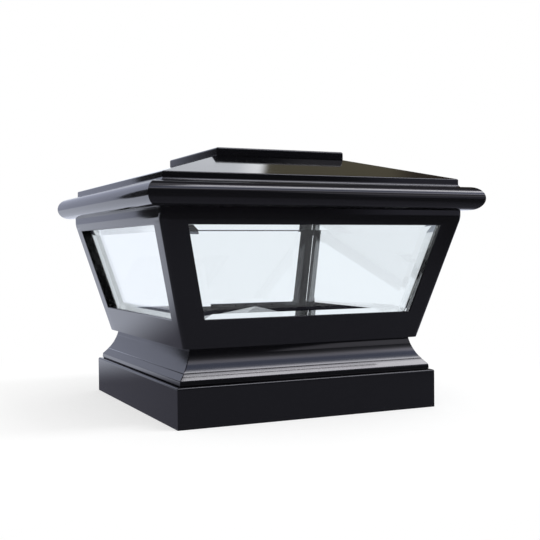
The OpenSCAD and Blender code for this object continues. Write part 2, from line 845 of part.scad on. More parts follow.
module module_housing() {
    tab_half_w = contact_tab_w / 2 + tab_gap;
    tab_half_t = contact_t / 2 + tab_end_gap;
    small_hole_d = small_screw_d + 2 * screw_gap;
    color(dark_plastic) difference() {
        union() {
            difference() {
                union() {
                    translate([0, 0, tub_z]) linear_extrude(tub_rim_z - tub_z)
                        rounded_square(tub_half, tub_corner_r);
                    translate([0, 0, land_z]) linear_extrude(tub_flange_t)
                        rounded_square(flange_out_half, flange_corner_r);
                }
                translate([0, 0, tub_floor_z]) linear_extrude(tub_rim_z - tub_floor_z + cut)
                    rounded_square(tub_in, tub_corner_r - corner_step);
            }
            // Walls and ceiling of the battery bay
            box(-tub_in - weld, -bay_in_x + bay_wall, -bay_half_l - bay_wall, bay_half_l + bay_wall,
                tub_floor_z - weld, board_z);
            // Posts for the control board, the lamp board and the lens
            for (side = [-1, 1]) {
                translate([board_post_x, side * board_post_y, tub_floor_z - weld])
                    cylinder(h = board_z - tub_floor_z + weld, r = small_head_d / 2 + post_lap);
                translate([0, side * lamp_screw_at, tub_floor_z - weld])
                    cylinder(h = lens_wall + weld, r = small_head_d / 2);
            }
            for (y0 = [knuckle_half_l + door_gap, -lug_half_l]) hinge_lug(y0);
        }
        bay_cuts();
        pin_bore(pin_d / 2 + screw_gap, lug_half_l + screw_gap);
        // Slots for the tabs of the two contacts
        for (side = [-1, 1]) let (tab_y = side * (bay_half_l - contact_t / 2))
            box(-battery_x - tab_half_w, -battery_x + tab_half_w, tab_y - tab_half_t, tab_y + tab_half_t,
                bay_top_z - cut, board_z + cut);
        // Hole for the lens
        translate([0, 0, tub_z - cut]) cylinder(h = tub_floor + 2 * cut, r = lens_r + lens_gap);
        // Slot for the switch knob
        box(switch_x - knob_w / 2 - knob_gap, switch_x + knob_w / 2 + knob_gap,
            knob_rest_y - knob_gap, -knob_rest_y + knob_gap, tub_z - cut, tub_floor_z + cut);
        // Screw holes
        at_corners(bezel_screw_at) translate([0, 0, land_z])
            sunk_hole(small_screw_d, small_head_d, small_head_h, tub_flange_t + cut);
        for (side = [-1, 1]) {
            translate([board_post_x, side * board_post_y, board_z - post_hole_l])
                cylinder(h = post_hole_l + cut, d = small_hole_d);
            translate([0, side * lamp_screw_at, tub_z + lamp_hole_foot])
                cylinder(h = tub_floor + lens_wall, d = small_hole_d);
        }
    }
}

// A bore along the hinge's axis
module pin_bore(r, half_l) {
    translate([-hinge_x, half_l, hinge_z]) rotate([90, 0, 0]) cylinder(h = 2 * half_l, r = r);
}

module door_pin() {
    color(sheet_steel) pin_bore(pin_d / 2, lug_half_l - play);
}

module battery_door() {
    tongue_w = 8;
    grip_from = 5;
    grip_to = 8.2;
    grip_pitch = 1.6;
    grip_w = 0.3;
    door_z = hinge_z - door_t / 2;
    // The plate's heel swings past the edge of the recess
    heel = norm([knuckle_slot_r, hinge_z - tub_z]) + door_gap;
    color(dark_plastic) difference() {
        union() {
            // The plate, clear of the hinge lugs at both ends
            box(-hinge_x + heel, -door_tip_x, -door_half_l, door_half_l, door_z, door_z + door_t);
            box(-hinge_x, -door_tip_x, -knuckle_half_l, knuckle_half_l, door_z, door_z + door_t);
            pin_bore(knuckle_r, knuckle_half_l);
        }
        pin_bore(pin_d / 2 + pin_gap, knuckle_half_l + cut);
        // Finger notch in the free edge
        translate([-door_tip_x, 0, door_z - cut]) cylinder(h = cut + door_t / 2, d = tongue_w);
        // Grip lines
        for (x = [-door_tip_x - grip_from:-grip_pitch:-door_tip_x - grip_to])
            box(x - grip_w, x + grip_w, -tongue_w, tongue_w, door_z - cut, door_z + grip_w);
    }
}

module bezel_screws() {
    color(sheet_steel) at_corners(bezel_screw_at) translate([0, 0, land_z])
        sunk_screw(small_screw_d, small_head_d, small_head_h, bezel_lip_z - land_z - 1.5 * screw_end_room);
}

// Chips on the control board: x, y, length, width, height
board_chips = [[-6, 6, 8, 6, 1.6], [-8, -14, 5, 5, 1.4]];
// Round capacitor and coil: x, y, radius, height
board_cans = [[6, -14, 3, 2.8], [16, -4, 2.5, 3]];
// A row of small resistors
resistor = [2, 1.2, 0.6];
resistor_at = [-20, -22];
resistor_pitch = 4;

module control_board() {
    top_z = board_z + board_t;
    color(board_green) difference() {
        union() {
            square_plate(board_half, board_z, board_t);
            for (p = board_chips) box(p[0], p[0] + p[2], p[1], p[1] + p[3], top_z - overlap, top_z + p[4]);
            for (p = board_cans) translate([p[0], p[1], top_z - overlap])
                cylinder(h = p[3] + overlap, r = p[2]);
            for (i = [0:3])
                translate([resistor_at[0] + i * resistor_pitch, resistor_at[1], top_z - overlap])
                    cube(resistor + [0, 0, overlap]);
        }
        for (side = [-1, 1]) translate([board_post_x, side * board_post_y, board_z - cut])
            cylinder(h = board_t + 2 * cut, d = small_screw_d + 2 * screw_gap);
    }
}

// Length of thread that the board's screws have in the posts
post_grip = 5;

module board_screws() {
    color(sheet_steel) for (side = [-1, 1])
        translate([board_post_x, side * board_post_y, board_z + board_t]) rotate([180, 0, 0])
            pan_screw(small_screw_d, small_head_d, small_head_h, board_t + post_grip);
}

// ---- Battery ----

nub_l = 1.3;
nub_r = 2.75;
contact_w = 10;
contact_tab_w = 3;
contact_foot = 1;
plus_face_y = bay_half_l - contact_t;
minus_face_y = plus_face_y - battery_l;

module battery() {
    color("darkgreen") translate([-battery_x, 0, battery_z]) rotate([-90, 0, 0]) {
        translate([0, 0, minus_face_y]) cylinder(h = battery_l - nub_l, d = battery_d);
        translate([0, 0, plus_face_y - nub_l - cut]) cylinder(h = nub_l + cut, r = nub_r);
    }
}

// A contact plate against one end of the bay, with its tab up to the board
module contact(y) {
    plate = [contact_w, tub_floor_z + contact_foot, bay_top_z];
    tab = [contact_tab_w, bay_top_z - cut, board_z];
    for (p = [plate, tab])
        box(-battery_x - p[0] / 2, -battery_x + p[0] / 2, y, y + contact_t, p[1], p[2]);
}

module contact_plus() {
    color(sheet_steel) contact(bay_half_l - contact_t);
}

module contact_minus() {
    color(sheet_steel) contact(-bay_half_l);
}

spring_turns = 3;
spring_wire_r = 0.35;
spring_foot_r = 4.2;
spring_taper = 1.4;

// A point on the spring's centre line, t turns from the contact plate
function spring_point(t) =
    let (r = spring_foot_r - spring_taper * t / spring_turns, a = 360 * t)
    [r * cos(a), spring_wire_r + (spring_l - 2 * spring_wire_r) * t / spring_turns, r * sin(a)];

module battery_spring() {
    turn_steps = 16;
    rings = turn_steps * spring_turns;
    sides = 6;
    points = [for (i = [0:rings]) let (t = i / turn_steps, a = 360 * t)
        for (j = [0:sides - 1]) let (b = 360 * j / sides)
            spring_point(t) + spring_wire_r * [cos(a) * cos(b), sin(b), sin(a) * cos(b)]];
    color(sheet_steel) translate([-battery_x, -plus_face_y, battery_z])
        polyhedron(points, tube_faces(rings, sides));
}

// ---- Lamp ----

module lamp_board() {
    color("white") difference() {
        box(-lamp_board_w / 2, lamp_board_w / 2, -lamp_board_l / 2, lamp_board_l / 2,
            lamp_board_z, lamp_board_z + board_t);
        for (side = [-1, 1]) translate([0, side * lamp_screw_at, lamp_board_z - cut])
            cylinder(h = board_t + 2 * cut, d = small_screw_d + 2 * screw_gap);
    }
}

module lamp_chips() {
    chip = [3.5, 2.8, 0.8];
    chip_at = 2.6;
    color("lightyellow") at_corners(chip_at)
        translate([-chip[0] / 2, -chip[1] / 2, lamp_board_z - chip[2]]) cube(chip);
}

// Clearance between the lens and the housing's floor
lens_gap = 0.2;
// Length of thread that the lamp board's screws have below the board
lamp_grip = 2;

// Half the dome's profile: r is its radius, and inset how far it lies inside the
// lens's outer face
module lens_outline(inset) {
    r = lens_r - inset;
    dome_r = (r * r + lens_drop * lens_drop) / (2 * lens_drop);
    intersection() {
        translate([0, tub_z - lens_drop + inset + dome_r]) circle(dome_r, $fn = arc_fn);
        translate([0, tub_z - 2 * lens_drop]) square([r, lamp_board_z - tub_z + 2 * lens_drop]);
    }
}

module lamp_lens() {
    color("whitesmoke") difference() {
        union() {
            rotate_extrude() lens_outline(0);
            translate([0, 0, tub_z]) cylinder(h = lamp_board_z - tub_z, r = lens_r);
            translate([0, 0, tub_floor_z]) cylinder(h = lens_wall, r = lens_r + lens_flange_w);
        }
        rotate_extrude() lens_outline(lens_wall);
        translate([0, 0, tub_z]) cylinder(h = lamp_board_z - tub_z + cut, r = lens_r - lens_wall);
    }
}

module lamp_screws() {
    color(sheet_steel) for (side = [-1, 1]) translate([0, side * lamp_screw_at, lamp_board_z + board_t])
        rotate([180, 0, 0])
            pan_screw(small_screw_d, small_head_d, small_head_h, board_t + lens_wall + lamp_grip);
}

// ---- Switch ----

knob_step = 0.6;
knob_stem_w = knob_w - 2 * knob_step;
knob_stem_h = 1.5;

module switch_body() {
    stem_room = knob_stem_w / 2 + knob_gap;
    color("black") difference() {
        box(switch_x - switch_w / 2, switch_x + switch_w / 2, -switch_l / 2, switch_l / 2,
            tub_floor_z, tub_floor_z + switch_h);
        box(switch_x - stem_room, switch_x + stem_room, knob_rest_y - knob_gap, -knob_rest_y + knob_gap,
            tub_floor_z - cut, tub_floor_z + knob_stem_h + knob_gap);
    }
}

module switch_knob() {
    under_z = tub_z - knob_out;
    top_z = tub_floor_z - knob_gap;
    grip_r = 0.25;
    end_y = knob_rest_y + knob_l;
    color("white") difference() {
        union() {
            box(switch_x - knob_w / 2, switch_x + knob_w / 2, knob_rest_y, end_y, under_z, top_z);
            box(switch_x - knob_stem_w / 2, switch_x + knob_stem_w / 2, knob_rest_y, end_y,
                top_z - cut, tub_floor_z + knob_stem_h);
        }
        // Grip lines across the knob
        for (i = [1:3]) translate([switch_x, knob_rest_y + knob_l * i / 4, under_z]) rotate([0, 90, 0])
            cylinder(h = knob_w + 2 * cut, r = grip_r, center = true, $fn = 4);
    }
}

// ---- Wires ----

panel_lead_at = [14, 18];
lamp_lead_x = 5;
lead_gap = 5;
panel_lead_jog = 1;
low_lead_jog = 3;

module panel_lead(side) {
    riser(panel_lead_at[0], panel_lead_at[1] + side * lead_gap / 2,
        board_z + board_t, cell_board_z, panel_lead_jog);
}

module lamp_lead(side) {
    riser(lamp_lead_x, side * lead_gap / 2, lamp_board_z + board_t, board_z, low_lead_jog);
}

module switch_lead(side) {
    riser(switch_x, side * lead_gap / 2, tub_floor_z + switch_h, board_z, -low_lead_jog);
}

post_base();
base_seal();
base_screws();
lantern_frame();
floor_pyramid();
pane(0);  // glass_front
pane(1);  // glass_right
pane(2);  // glass_back
pane(3);  // glass_left
ceiling_plate();
roof_seal();
roof_shell();
roof_screws();
solar_bezel();
cover_seal();
cover_glass();
solar_cells();
module_housing();
bezel_screws();
control_board();
board_screws();
battery();
contact_plus();
contact_minus();
battery_spring();
lamp_board();
lamp_chips();
lamp_lens();
lamp_screws();
switch_body();
color("red") panel_lead(1);  // panel_wire_red
color("black") panel_lead(-1);  // panel_wire_black
color("red") lamp_lead(1);  // lamp_wire_red
color("black") lamp_lead(-1);  // lamp_wire_black
color("red") switch_lead(1);  // switch_wire_red
color("black") switch_lead(-1);  // switch_wire_black
door_pin();
battery_door();
switch_knob();
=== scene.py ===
# %% [markdown]
# # A post cap light: from solids to a picture
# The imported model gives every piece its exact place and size. This lesson puts
# looks on it: cast shells with softened edges, bevelled panes, and a finish for
# every surface. The frame is loaded first and never moved.

# %% Load the frame
import math

import bmesh
import bpy
from mathutils import Matrix, Vector


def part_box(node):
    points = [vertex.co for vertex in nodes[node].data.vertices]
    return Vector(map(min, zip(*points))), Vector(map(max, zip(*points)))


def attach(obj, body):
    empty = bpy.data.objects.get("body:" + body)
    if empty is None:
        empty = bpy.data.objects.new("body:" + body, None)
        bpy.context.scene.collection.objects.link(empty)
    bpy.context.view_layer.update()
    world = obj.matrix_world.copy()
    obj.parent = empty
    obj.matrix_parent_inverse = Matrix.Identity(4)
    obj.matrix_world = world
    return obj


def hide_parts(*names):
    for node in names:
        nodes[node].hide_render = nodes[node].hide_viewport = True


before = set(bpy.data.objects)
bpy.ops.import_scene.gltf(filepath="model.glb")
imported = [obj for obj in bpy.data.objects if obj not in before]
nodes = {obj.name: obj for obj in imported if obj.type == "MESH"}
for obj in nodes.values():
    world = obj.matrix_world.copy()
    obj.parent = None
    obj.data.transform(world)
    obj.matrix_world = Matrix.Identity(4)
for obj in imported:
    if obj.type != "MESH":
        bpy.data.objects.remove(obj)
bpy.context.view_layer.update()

MM = 0.001

# %% [markdown]
# ## Sizes
# A replacement shell has to sit exactly where its solid sits. So the sizes come
# from the same few numbers that a designer would set, in millimetres, and the
# rest is worked out from them. Widths are half widths, measured from the middle.

# %% Sizes of the base
skirt, socket, skirt_top = 80.0, 77.5, 22.1
stop, stop_level = 74.25, skirt_top - 2.0
lip, lip_top = 77.75, 25.1
deck, deck_top = 69.0, 41.2
wall = 3.0
cove_centre, cove_radius = (97.372, 46.191), 28.8
deck_under = deck_top - wall

# %% Sizes of the lantern frame and its panes
foot, lean, rise = 72.5, math.radians(15.1), 69.6
knee_level = deck_top + rise
knee = foot + rise * math.tan(lean)
frame_top = knee_level + 4.6
frame_wall, outer_skin = 5.5, 0.9
stile, sill, window_height = 13.5, 15.4, 49.8
glass, glass_drop = 4.0, 1.3
seal_groove = 0.8
screw_bore = 2.05

# %% Sizes of the roof and the bezel
bull, bull_radius = knee + 3.5, 6.7
plinth, plinth_rise = knee - 1.1, 4.8
pitch = math.radians(15.84)
eaves = frame_top + 2 * bull_radius
plinth_top = eaves + plinth_rise
bezel = 41.2
land = plinth_top + (plinth - bezel) * math.tan(pitch)
bezel_top = land + 4.9
print("tip %.2f, top %.2f" % (bull + bull_radius, bezel_top))

# %% [markdown]
# ## The camera
# The photograph was taken a little above the middle of the lantern, with the
# front window on the right and the narrow side on the left. Straight edges of
# the object gave the position, the lens and the tilt. The three directions of
# the camera are worked out as vectors, because then each angle can be checked
# on its own.

# %% Camera
camera_place = Vector((-238.4, -534.5, 93.7)) * MM
yaw, tilt, roll = math.radians(24.996), math.radians(-1.272), math.radians(-0.503)
camera_data = bpy.data.cameras.new("camera")
camera_data.sensor_width = 36.0
camera_data.lens = 61.86
camera_data.clip_start = 0.02
camera = bpy.data.objects.new("camera", camera_data)
forward = Vector((math.sin(yaw) * math.cos(tilt), math.cos(yaw) * math.cos(tilt), math.sin(tilt)))
level_right = Vector((math.cos(yaw), -math.sin(yaw), 0))
level_up = level_right.cross(forward)
right = math.cos(roll) * level_right + math.sin(roll) * level_up
up = -math.sin(roll) * level_right + math.cos(roll) * level_up
turn = Matrix((right, up, -forward)).transposed().to_4x4()
camera.matrix_world = Matrix.Translation(camera_place) @ turn
bpy.context.scene.collection.objects.link(camera)
bpy.context.scene.camera = camera
bpy.context.scene.view_settings.view_transform = "Standard"
print("camera at", [round(v, 4) for v in camera.location])

# %% [markdown]
# ## Helpers for the castings
# A square is a circle of four steps. An outline that is spun about the upright
# axis in four steps, with its corner on the diagonal, gives four flat walls that
# meet in true mitres. The long mitre edges and the outline's own corners then get
# a bevel, because real castings have no sharp edge and a thin highlight along each
# edge is what makes black paint readable.

# %% Outlines and square rings


def arc(centre, radius, start, end, steps):
    """Points on an arc, angles in degrees."""
    angles = [math.radians(start + (end - start) * i / steps) for i in range(steps + 1)]
    return [(centre[0] + radius * math.cos(a), centre[1] + radius * math.sin(a)) for a in angles]


def corners(at):
    """The four places at plus and minus a distance."""
    return [(x, y) for x in (-at, at) for y in (-at, at)]


def close_up(bm):
    """Merges doubles and turns the normals outwards."""
    bmesh.ops.remove_doubles(bm, verts=bm.verts, dist=1e-7)
    bmesh.ops.recalc_face_normals(bm, faces=bm.faces)


def spin_outline(bm, ring, steps):
    """Spins a closed ring of vertices about the upright axis."""
    edges = [bm.edges.new((ring[i - 1], ring[i])) for i in range(len(ring))]
    bmesh.ops.spin(bm, geom=ring + edges, cent=(0, 0, 0), axis=(0, 0, 1), angle=2 * math.pi,
                   steps=steps, use_merge=True)
    close_up(bm)


def square_spin(bm, outline):
    """Spins a closed outline of (half width, level), in mm, into a square ring."""
    spin_outline(bm, [bm.verts.new((w * MM, -w * MM, h * MM)) for w, h in outline], 4)


def rounded_ring(bm, outline, steps=8):
    """Joins level squares into a closed ring. The outline holds (half width, level, corner radius) in mm."""
    loops = []
    for w, h, r in outline:
        quarter = arc((w - r, w - r), r, 0, 90, steps)
        loops.append([bm.verts.new(Matrix.Rotation(k * math.pi / 2, 3, "Z") @ Vector((x, y, h)) * MM)
                      for k in range(4) for x, y in quarter])
    for a, b in zip(loops, loops[1:] + loops[:1]):
        for j in range(len(a)):
            bm.faces.new((a[j - 1], a[j], b[j], b[j - 1]))
    close_up(bm)


print("a quarter turn in four steps:", [(round(x, 2), round(y, 2)) for x, y in arc((0, 0), 1, 0, 90, 4)])

# %% Edges to round


def bevel(bm, edges, width, segments):
    """Rounds edges by a width in mm."""
    bmesh.ops.bevel(bm, geom=list(edges), offset=width * MM, offset_type="OFFSET", affect="EDGES",
                    segments=segments, profile=0.5, material=-1, clamp_overlap=True)


def on_diagonal(edge):
    """True for an edge that runs along one of the four mitres."""
    return all(abs(abs(v.co.x) - abs(v.co.y)) < 1e-6 for v in edge.verts)


def mitres(bm, test):
    """Mitre edges whose ends all pass a test on (half width, level)."""
    return [e for e in bm.edges
            if on_diagonal(e) and all(test(abs(v.co.x) / MM, v.co.z / MM) for v in e.verts)]


def rim_edges(bm, spots):
    """Edges that run level along the outline's corners at (half width, level), in mm."""
    picked = []
    for edge in bm.edges:
        ends = [(max(abs(v.co.x), abs(v.co.y)) / MM, v.co.z / MM) for v in edge.verts]
        if any(all(abs(w - a) < 0.02 and abs(h - b) < 0.02 for w, h in ends) for a, b in spots):
            picked.append(edge)
    return picked


def sharp_edges(bm, least):
    """Edges whose faces meet at more than an angle, in degrees."""
    return [e for e in bm.edges if len(e.link_faces) == 2 and e.calc_face_angle(0) > math.radians(least)]


print("edge helpers ready")

# %% Parts that are added to a casting


def merge_into(bm, part):
    """Adds a part's faces to a casting and frees the part."""
    spare = bpy.data.meshes.new("spare")
    part.to_mesh(spare)
    part.free()
    bm.from_mesh(spare)
    bpy.data.meshes.remove(spare)


def add_box(bm, low, high):
    """A closed box between two corners in mm."""
    size = [b - a for a, b in zip(low, high)]
    middle = [(a + b) / 2 for a, b in zip(low, high)]
    made = bmesh.ops.create_cube(bm, size=MM)["verts"]
    bmesh.ops.scale(bm, vec=size, verts=made)
    bmesh.ops.translate(bm, vec=Vector(middle) * MM, verts=made)


def add_round(bm, outline, at=(0, 0), steps=32):
    """Spins a closed outline of (radius, level) about an upright line, in mm."""
    part = bmesh.new()
    spin_outline(part, [part.verts.new((r * MM, 0, h * MM)) for r, h in outline], steps)
    bmesh.ops.translate(part, vec=(at[0] * MM, at[1] * MM, 0), verts=part.verts)
    merge_into(bm, part)


def add_prism(bm, outline, depth, matrix):
    """A closed outline of (x, y) in mm, centred on its plane, drawn out to a depth and placed."""
    part = bmesh.new()
    face = part.faces.new([part.verts.new((x * MM, y * MM, -depth / 2 * MM)) for x, y in outline])
    made = bmesh.ops.extrude_face_region(part, geom=[face])["geom"]
    moved = [v for v in made if isinstance(v, bmesh.types.BMVert)]
    bmesh.ops.translate(part, vec=(0, 0, depth * MM), verts=moved)
    bmesh.ops.recalc_face_normals(part, faces=part.faces)
    bmesh.ops.transform(part, matrix=matrix, verts=part.verts)
    merge_into(bm, part)


print("part helpers ready")

# %% [markdown]
# ## From a bmesh to a piece
# Every new piece ends the same way: smooth shading that breaks at sharp angles, and
# weighted normals, so that large flat faces stay flat beside a narrow bevel. A
# piece made from a solid's own mesh also gets a Bevel modifier. Then it is told
# which body it rides on and which finish it takes, and the solid it replaces is hidden.

# %% Finish a piece
finishes = {}


def finish_piece(name, bm, body, slot, replaced=(), smooth=35.0, edge=0.0, look=None):
    """Turns a bmesh into a piece that rides on a body. Edge is the width of a Bevel modifier in mm."""
    mesh = bpy.data.meshes.new(name)
    bm.to_mesh(mesh)
    bm.free()
    mesh.materials.append(finishes[look or slot])
    mesh.shade_smooth()
    mesh.set_sharp_from_angle(angle=math.radians(smooth))
    piece = bpy.data.objects.new(name, mesh)
    bpy.context.scene.collection.objects.link(piece)
    if edge:
        softened = piece.modifiers.new("edge", "BEVEL")
        softened.width = edge * MM
        softened.segments = 2
        softened.limit_method = "ANGLE"
        softened.angle_limit = math.radians(30.0)
        softened.use_clamp_overlap = True
    weighted = piece.modifiers.new("weighted normals", "WEIGHTED_NORMAL")
    weighted.keep_sharp = True
    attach(piece, body)
    if replaced:
        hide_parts(*replaced)
    print("%s: %d faces" % (name, len(mesh.polygons)))


# %% [markdown]
# ## Effects that several finishes share
# Paint, plastic and rubber all have a fine skin: a little unevenness in height and
# in gloss. It is made once, as a node group that puts out a height and a mask, and
# each finish sets its own scale. A second group draws straight lines on a grid, for
# the solar cells and for the circuit boards.

# %% Node helpers


def new_group(name, inputs, outputs):
    """An empty node group with float inputs {name: value} and outputs [name]."""
    group = bpy.data.node_groups.new(name, "ShaderNodeTree")
    for label, value in inputs.items():
        given = group.interface.new_socket(label, in_out="INPUT", socket_type="NodeSocketFloat")
        given.default_value = value
    for label in outputs:
        group.interface.new_socket(label, in_out="OUTPUT", socket_type="NodeSocketFloat")
    return group, group.nodes.new("NodeGroupInput"), group.nodes.new("NodeGroupOutput")


def math_node(tree, operation, *values):
    """A math node whose inputs are sockets or numbers. Returns its output."""
    node = tree.nodes.new("ShaderNodeMath")
    node.operation = operation
    for given, value in zip(node.inputs, values):
        if isinstance(value, (int, float)):
            given.default_value = value
        else:
            tree.links.new(value, given)
    return node.outputs[0]


def axes_of(tree, output):
    """The three coordinates of a Texture Coordinate output."""
    place = tree.nodes.new("ShaderNodeTexCoord")
    split = tree.nodes.new("ShaderNodeSeparateXYZ")
    tree.links.new(place.outputs[output], split.inputs[0])
    return [split.outputs[axis] for axis in "XYZ"]


print("node helpers ready")

# %% Node groups


def skin_group():
    """Fine unevenness of a sprayed, moulded or cast surface."""
    group, given, out = new_group("fine skin", {"Grain": 900.0, "Wander": 30.0}, ["Height", "Mask"])
    place = group.nodes.new("ShaderNodeTexCoord")
    for scale, detail, result in (("Grain", 2.0, "Height"), ("Wander", 3.0, "Mask")):
        noise = group.nodes.new("ShaderNodeTexNoise")
        noise.inputs["Detail"].default_value = detail
        group.links.new(place.outputs["Object"], noise.inputs["Vector"])
        group.links.new(given.outputs[scale], noise.inputs["Scale"])
        group.links.new(noise.outputs["Fac"], out.inputs[result])
    return group


def grid_group():
    """Masks of thin lines every so often along X and Y, in object coordinates."""
    group, given, out = new_group("grid lines", {"Pitch X": 0.01, "Pitch Y": 0.01, "Width": 0.0002},
                                  ["Along X", "Along Y"])
    x, y, z = axes_of(group, "Object")
    for axis, pitch, label in ((x, "Pitch X", "Along Y"), (y, "Pitch Y", "Along X")):
        half_pitch = math_node(group, "MULTIPLY", given.outputs[pitch], 0.5)
        half_width = math_node(group, "MULTIPLY", given.outputs["Width"], 0.5)
        from_line = math_node(group, "PINGPONG", axis, half_pitch)
        group.links.new(math_node(group, "LESS_THAN", from_line, half_width), out.inputs[label])
    return group


fine_skin = skin_group()
grid_lines = grid_group()
print("node groups:", [g.name for g in (fine_skin, grid_lines)])

# %% [markdown]
# ## Finishes
# Each finish is one Principled shader. What is the same all over is set on its own
# sockets. What changes over the surface comes from the groups: roughness wanders a
# little, and a faint bump breaks up the reflections as real paint does.

# %% Finish helpers


def new_finish(name, colour, roughness, sockets=None):
    """A material with one Principled shader. Returns (tree, shader)."""
    material = bpy.data.materials.new(name)
    material.use_nodes = True
    tree = material.node_tree
    shader = tree.nodes["Principled BSDF"]
    shader.inputs["Base Color"].default_value = (*colour, 1.0)
    shader.inputs["Roughness"].default_value = roughness
    for label, value in (sockets or {}).items():
        shader.inputs[label].default_value = value
    finishes[name] = material
    return tree, shader


def add_skin(tree, shader, grain, wander, height, roughness_low, roughness_high):
    """Gives a finish its fine skin: bump height in metres, and a roughness range."""
    skin = tree.nodes.new("ShaderNodeGroup")
    skin.node_tree = fine_skin
    skin.inputs["Grain"].default_value = grain
    skin.inputs["Wander"].default_value = wander
    bump = tree.nodes.new("ShaderNodeBump")
    bump.inputs["Distance"].default_value = height
    tree.links.new(skin.outputs["Height"], bump.inputs["Height"])
    tree.links.new(bump.outputs["Normal"], shader.inputs["Normal"])
    spread = tree.nodes.new("ShaderNodeMapRange")
    spread.inputs["From Min"].default_value = 0.3
    spread.inputs["From Max"].default_value = 0.7
    spread.inputs["To Min"].default_value = roughness_low
    spread.inputs["To Max"].default_value = roughness_high
    tree.links.new(skin.outputs["Mask"], spread.inputs["Value"])
    tree.links.new(spread.outputs["Result"], shader.inputs["Roughness"])


print("finish helpers ready")

# %% [markdown]
# ## Paint, plastic, rubber and metal
# The castings are sprayed a deep gloss black. On black paint the colour is almost
# nothing and the mirror image is everything, so its roughness is low and its skin
# very faint. Plastic and rubber are rougher, and their grain is finer and deeper.
# Screws and contacts are bare metal.

# %% Plain finishes
METAL = {"Metallic": 1.0}
PLAIN = (
    # slot, colour, grain, wander, bump height, low and high roughness, sockets
    ("gloss_black", (0.0045, 0.0045, 0.0055), 700, 25, 0.0000015, 0.05, 0.1, {"IOR": 1.5}),
    ("ceiling_white", (0.8, 0.8, 0.78), 900, 30, 0.000004, 0.3, 0.42, {}),
    ("seal_rubber", (0.025, 0.025, 0.026), 1600, 60, 0.00004, 0.75, 0.9, {}),
    ("housing_plastic", (0.02, 0.02, 0.022), 2600, 50, 0.00003, 0.42, 0.55, {}),
    ("switch_plastic", (0.03, 0.03, 0.031), 2200, 60, 0.00002, 0.4, 0.5, {}),
    ("knob_white", (0.82, 0.82, 0.79), 1800, 60, 0.000008, 0.25, 0.35, {}),
    ("board_white", (0.78, 0.79, 0.78), 900, 40, 0.000004, 0.3, 0.4, {}),
    ("wire_red", (0.5, 0.02, 0.015), 900, 120, 0.00001, 0.3, 0.4, {}),
    ("wire_black", (0.015, 0.015, 0.016), 900, 120, 0.00001, 0.3, 0.4, {}),
    ("chip_yellow", (0.85, 0.62, 0.12), 1500, 200, 0.00001, 0.3, 0.4, {}),
    ("battery_wrap", (0.02, 0.2, 0.07), 900, 60, 0.000006, 0.18, 0.3, {}),
    ("screw_steel", (0.56, 0.56, 0.55), 1400, 150, 0.00001, 0.22, 0.4, METAL),
    ("contact_nickel", (0.66, 0.63, 0.57), 1400, 90, 0.000006, 0.16, 0.3, METAL),
)
for slot, colour, grain, wander, height, low, high, sockets in PLAIN:
    tree, shader = new_finish(slot, colour, low, sockets)
    add_skin(tree, shader, grain, wander, height, low, high)
print("plain finishes:", len(PLAIN))

# %% [markdown]
# ## Glass and lens
# The panes are clear glass with a faint cool tint, solid and closed, so the ground
# edge bends the light as a real one does. The panel's cover is a thin sheet close
# over the cells. As solid glass it would leave them black, so it lets most of the
# light through unbent. The lamp's lens is frosted and spreads the light.

# %% Clear finishes
CLEAR = {"Transmission Weight": 1.0, "IOR": 1.5}
new_finish("pane_glass", (0.94, 0.975, 1.0), 0.0, CLEAR)
new_finish("cover_clear", (0.94, 0.97, 1.0), 0.0, {**CLEAR, "Alpha": 0.3})
tree, shader = new_finish("lens_frost", (0.95, 0.95, 0.94), 0.35, {"Transmission Weight": 0.85, "IOR": 1.49})
add_skin(tree, shader, 1500, 60, 0.00001, 0.3, 0.4)
print("clear finishes: pane_glass, cover_clear, lens_frost")

# %% [markdown]
# ## Solar cells and circuit board
# A solar panel is a row of dark blue cells with thin silver fingers across them. A
# circuit board is green lacquer over copper tracks. Both are a colour with straight
# lines on it, so both use the grid group, with a pitch and a width in metres.

# %% Lined finishes


def draw_grid(tree, shader, pitch_x, pitch_y, width, ground, line):
    """Base colour with lines of another colour on a grid."""
    grid = tree.nodes.new("ShaderNodeGroup")
    grid.node_tree = grid_lines
    grid.inputs["Pitch X"].default_value = pitch_x
    grid.inputs["Pitch Y"].default_value = pitch_y
    grid.inputs["Width"].default_value = width
    mask = math_node(tree, "MAXIMUM", grid.outputs["Along X"], grid.outputs["Along Y"])
    mix = tree.nodes.new("ShaderNodeMix")
    mix.data_type = "RGBA"
    mix.inputs["A"].default_value = (*ground, 1.0)
    mix.inputs["B"].default_value = (*line, 1.0)
    tree.links.new(mask, mix.inputs["Factor"])
    tree.links.new(mix.outputs["Result"], shader.inputs["Base Color"])


cell_ground, cell_line = (0.006, 0.01, 0.045), (0.2, 0.21, 0.23)
tree, shader = new_finish("cell_blue", cell_ground, 0.2, {"IOR": 1.5})
add_skin(tree, shader, 400, 60, 0.000002, 0.12, 0.22)
draw_grid(tree, shader, 0.0157, 0.0016, 0.00014, cell_ground, cell_line)

board_ground, board_track = (0.01, 0.1, 0.035), (0.03, 0.2, 0.07)
tree, shader = new_finish("board_green", board_ground, 0.3)
add_skin(tree, shader, 600, 80, 0.000006, 0.25, 0.38)
draw_grid(tree, shader, 0.0034, 0.0046, 0.0007, board_ground, board_track)
print("finishes:", len(finishes))

# %% [markdown]
# ## The base
# The base slips over the post. Its outline has the skirt, the fine groove, the lip,
# the cove and the deck, with the socket inside. It is a hollow casting, so the one
# closed outline holds the outer and the inner surface. Ribs and bosses under the
# deck take the screws of the lantern frame.

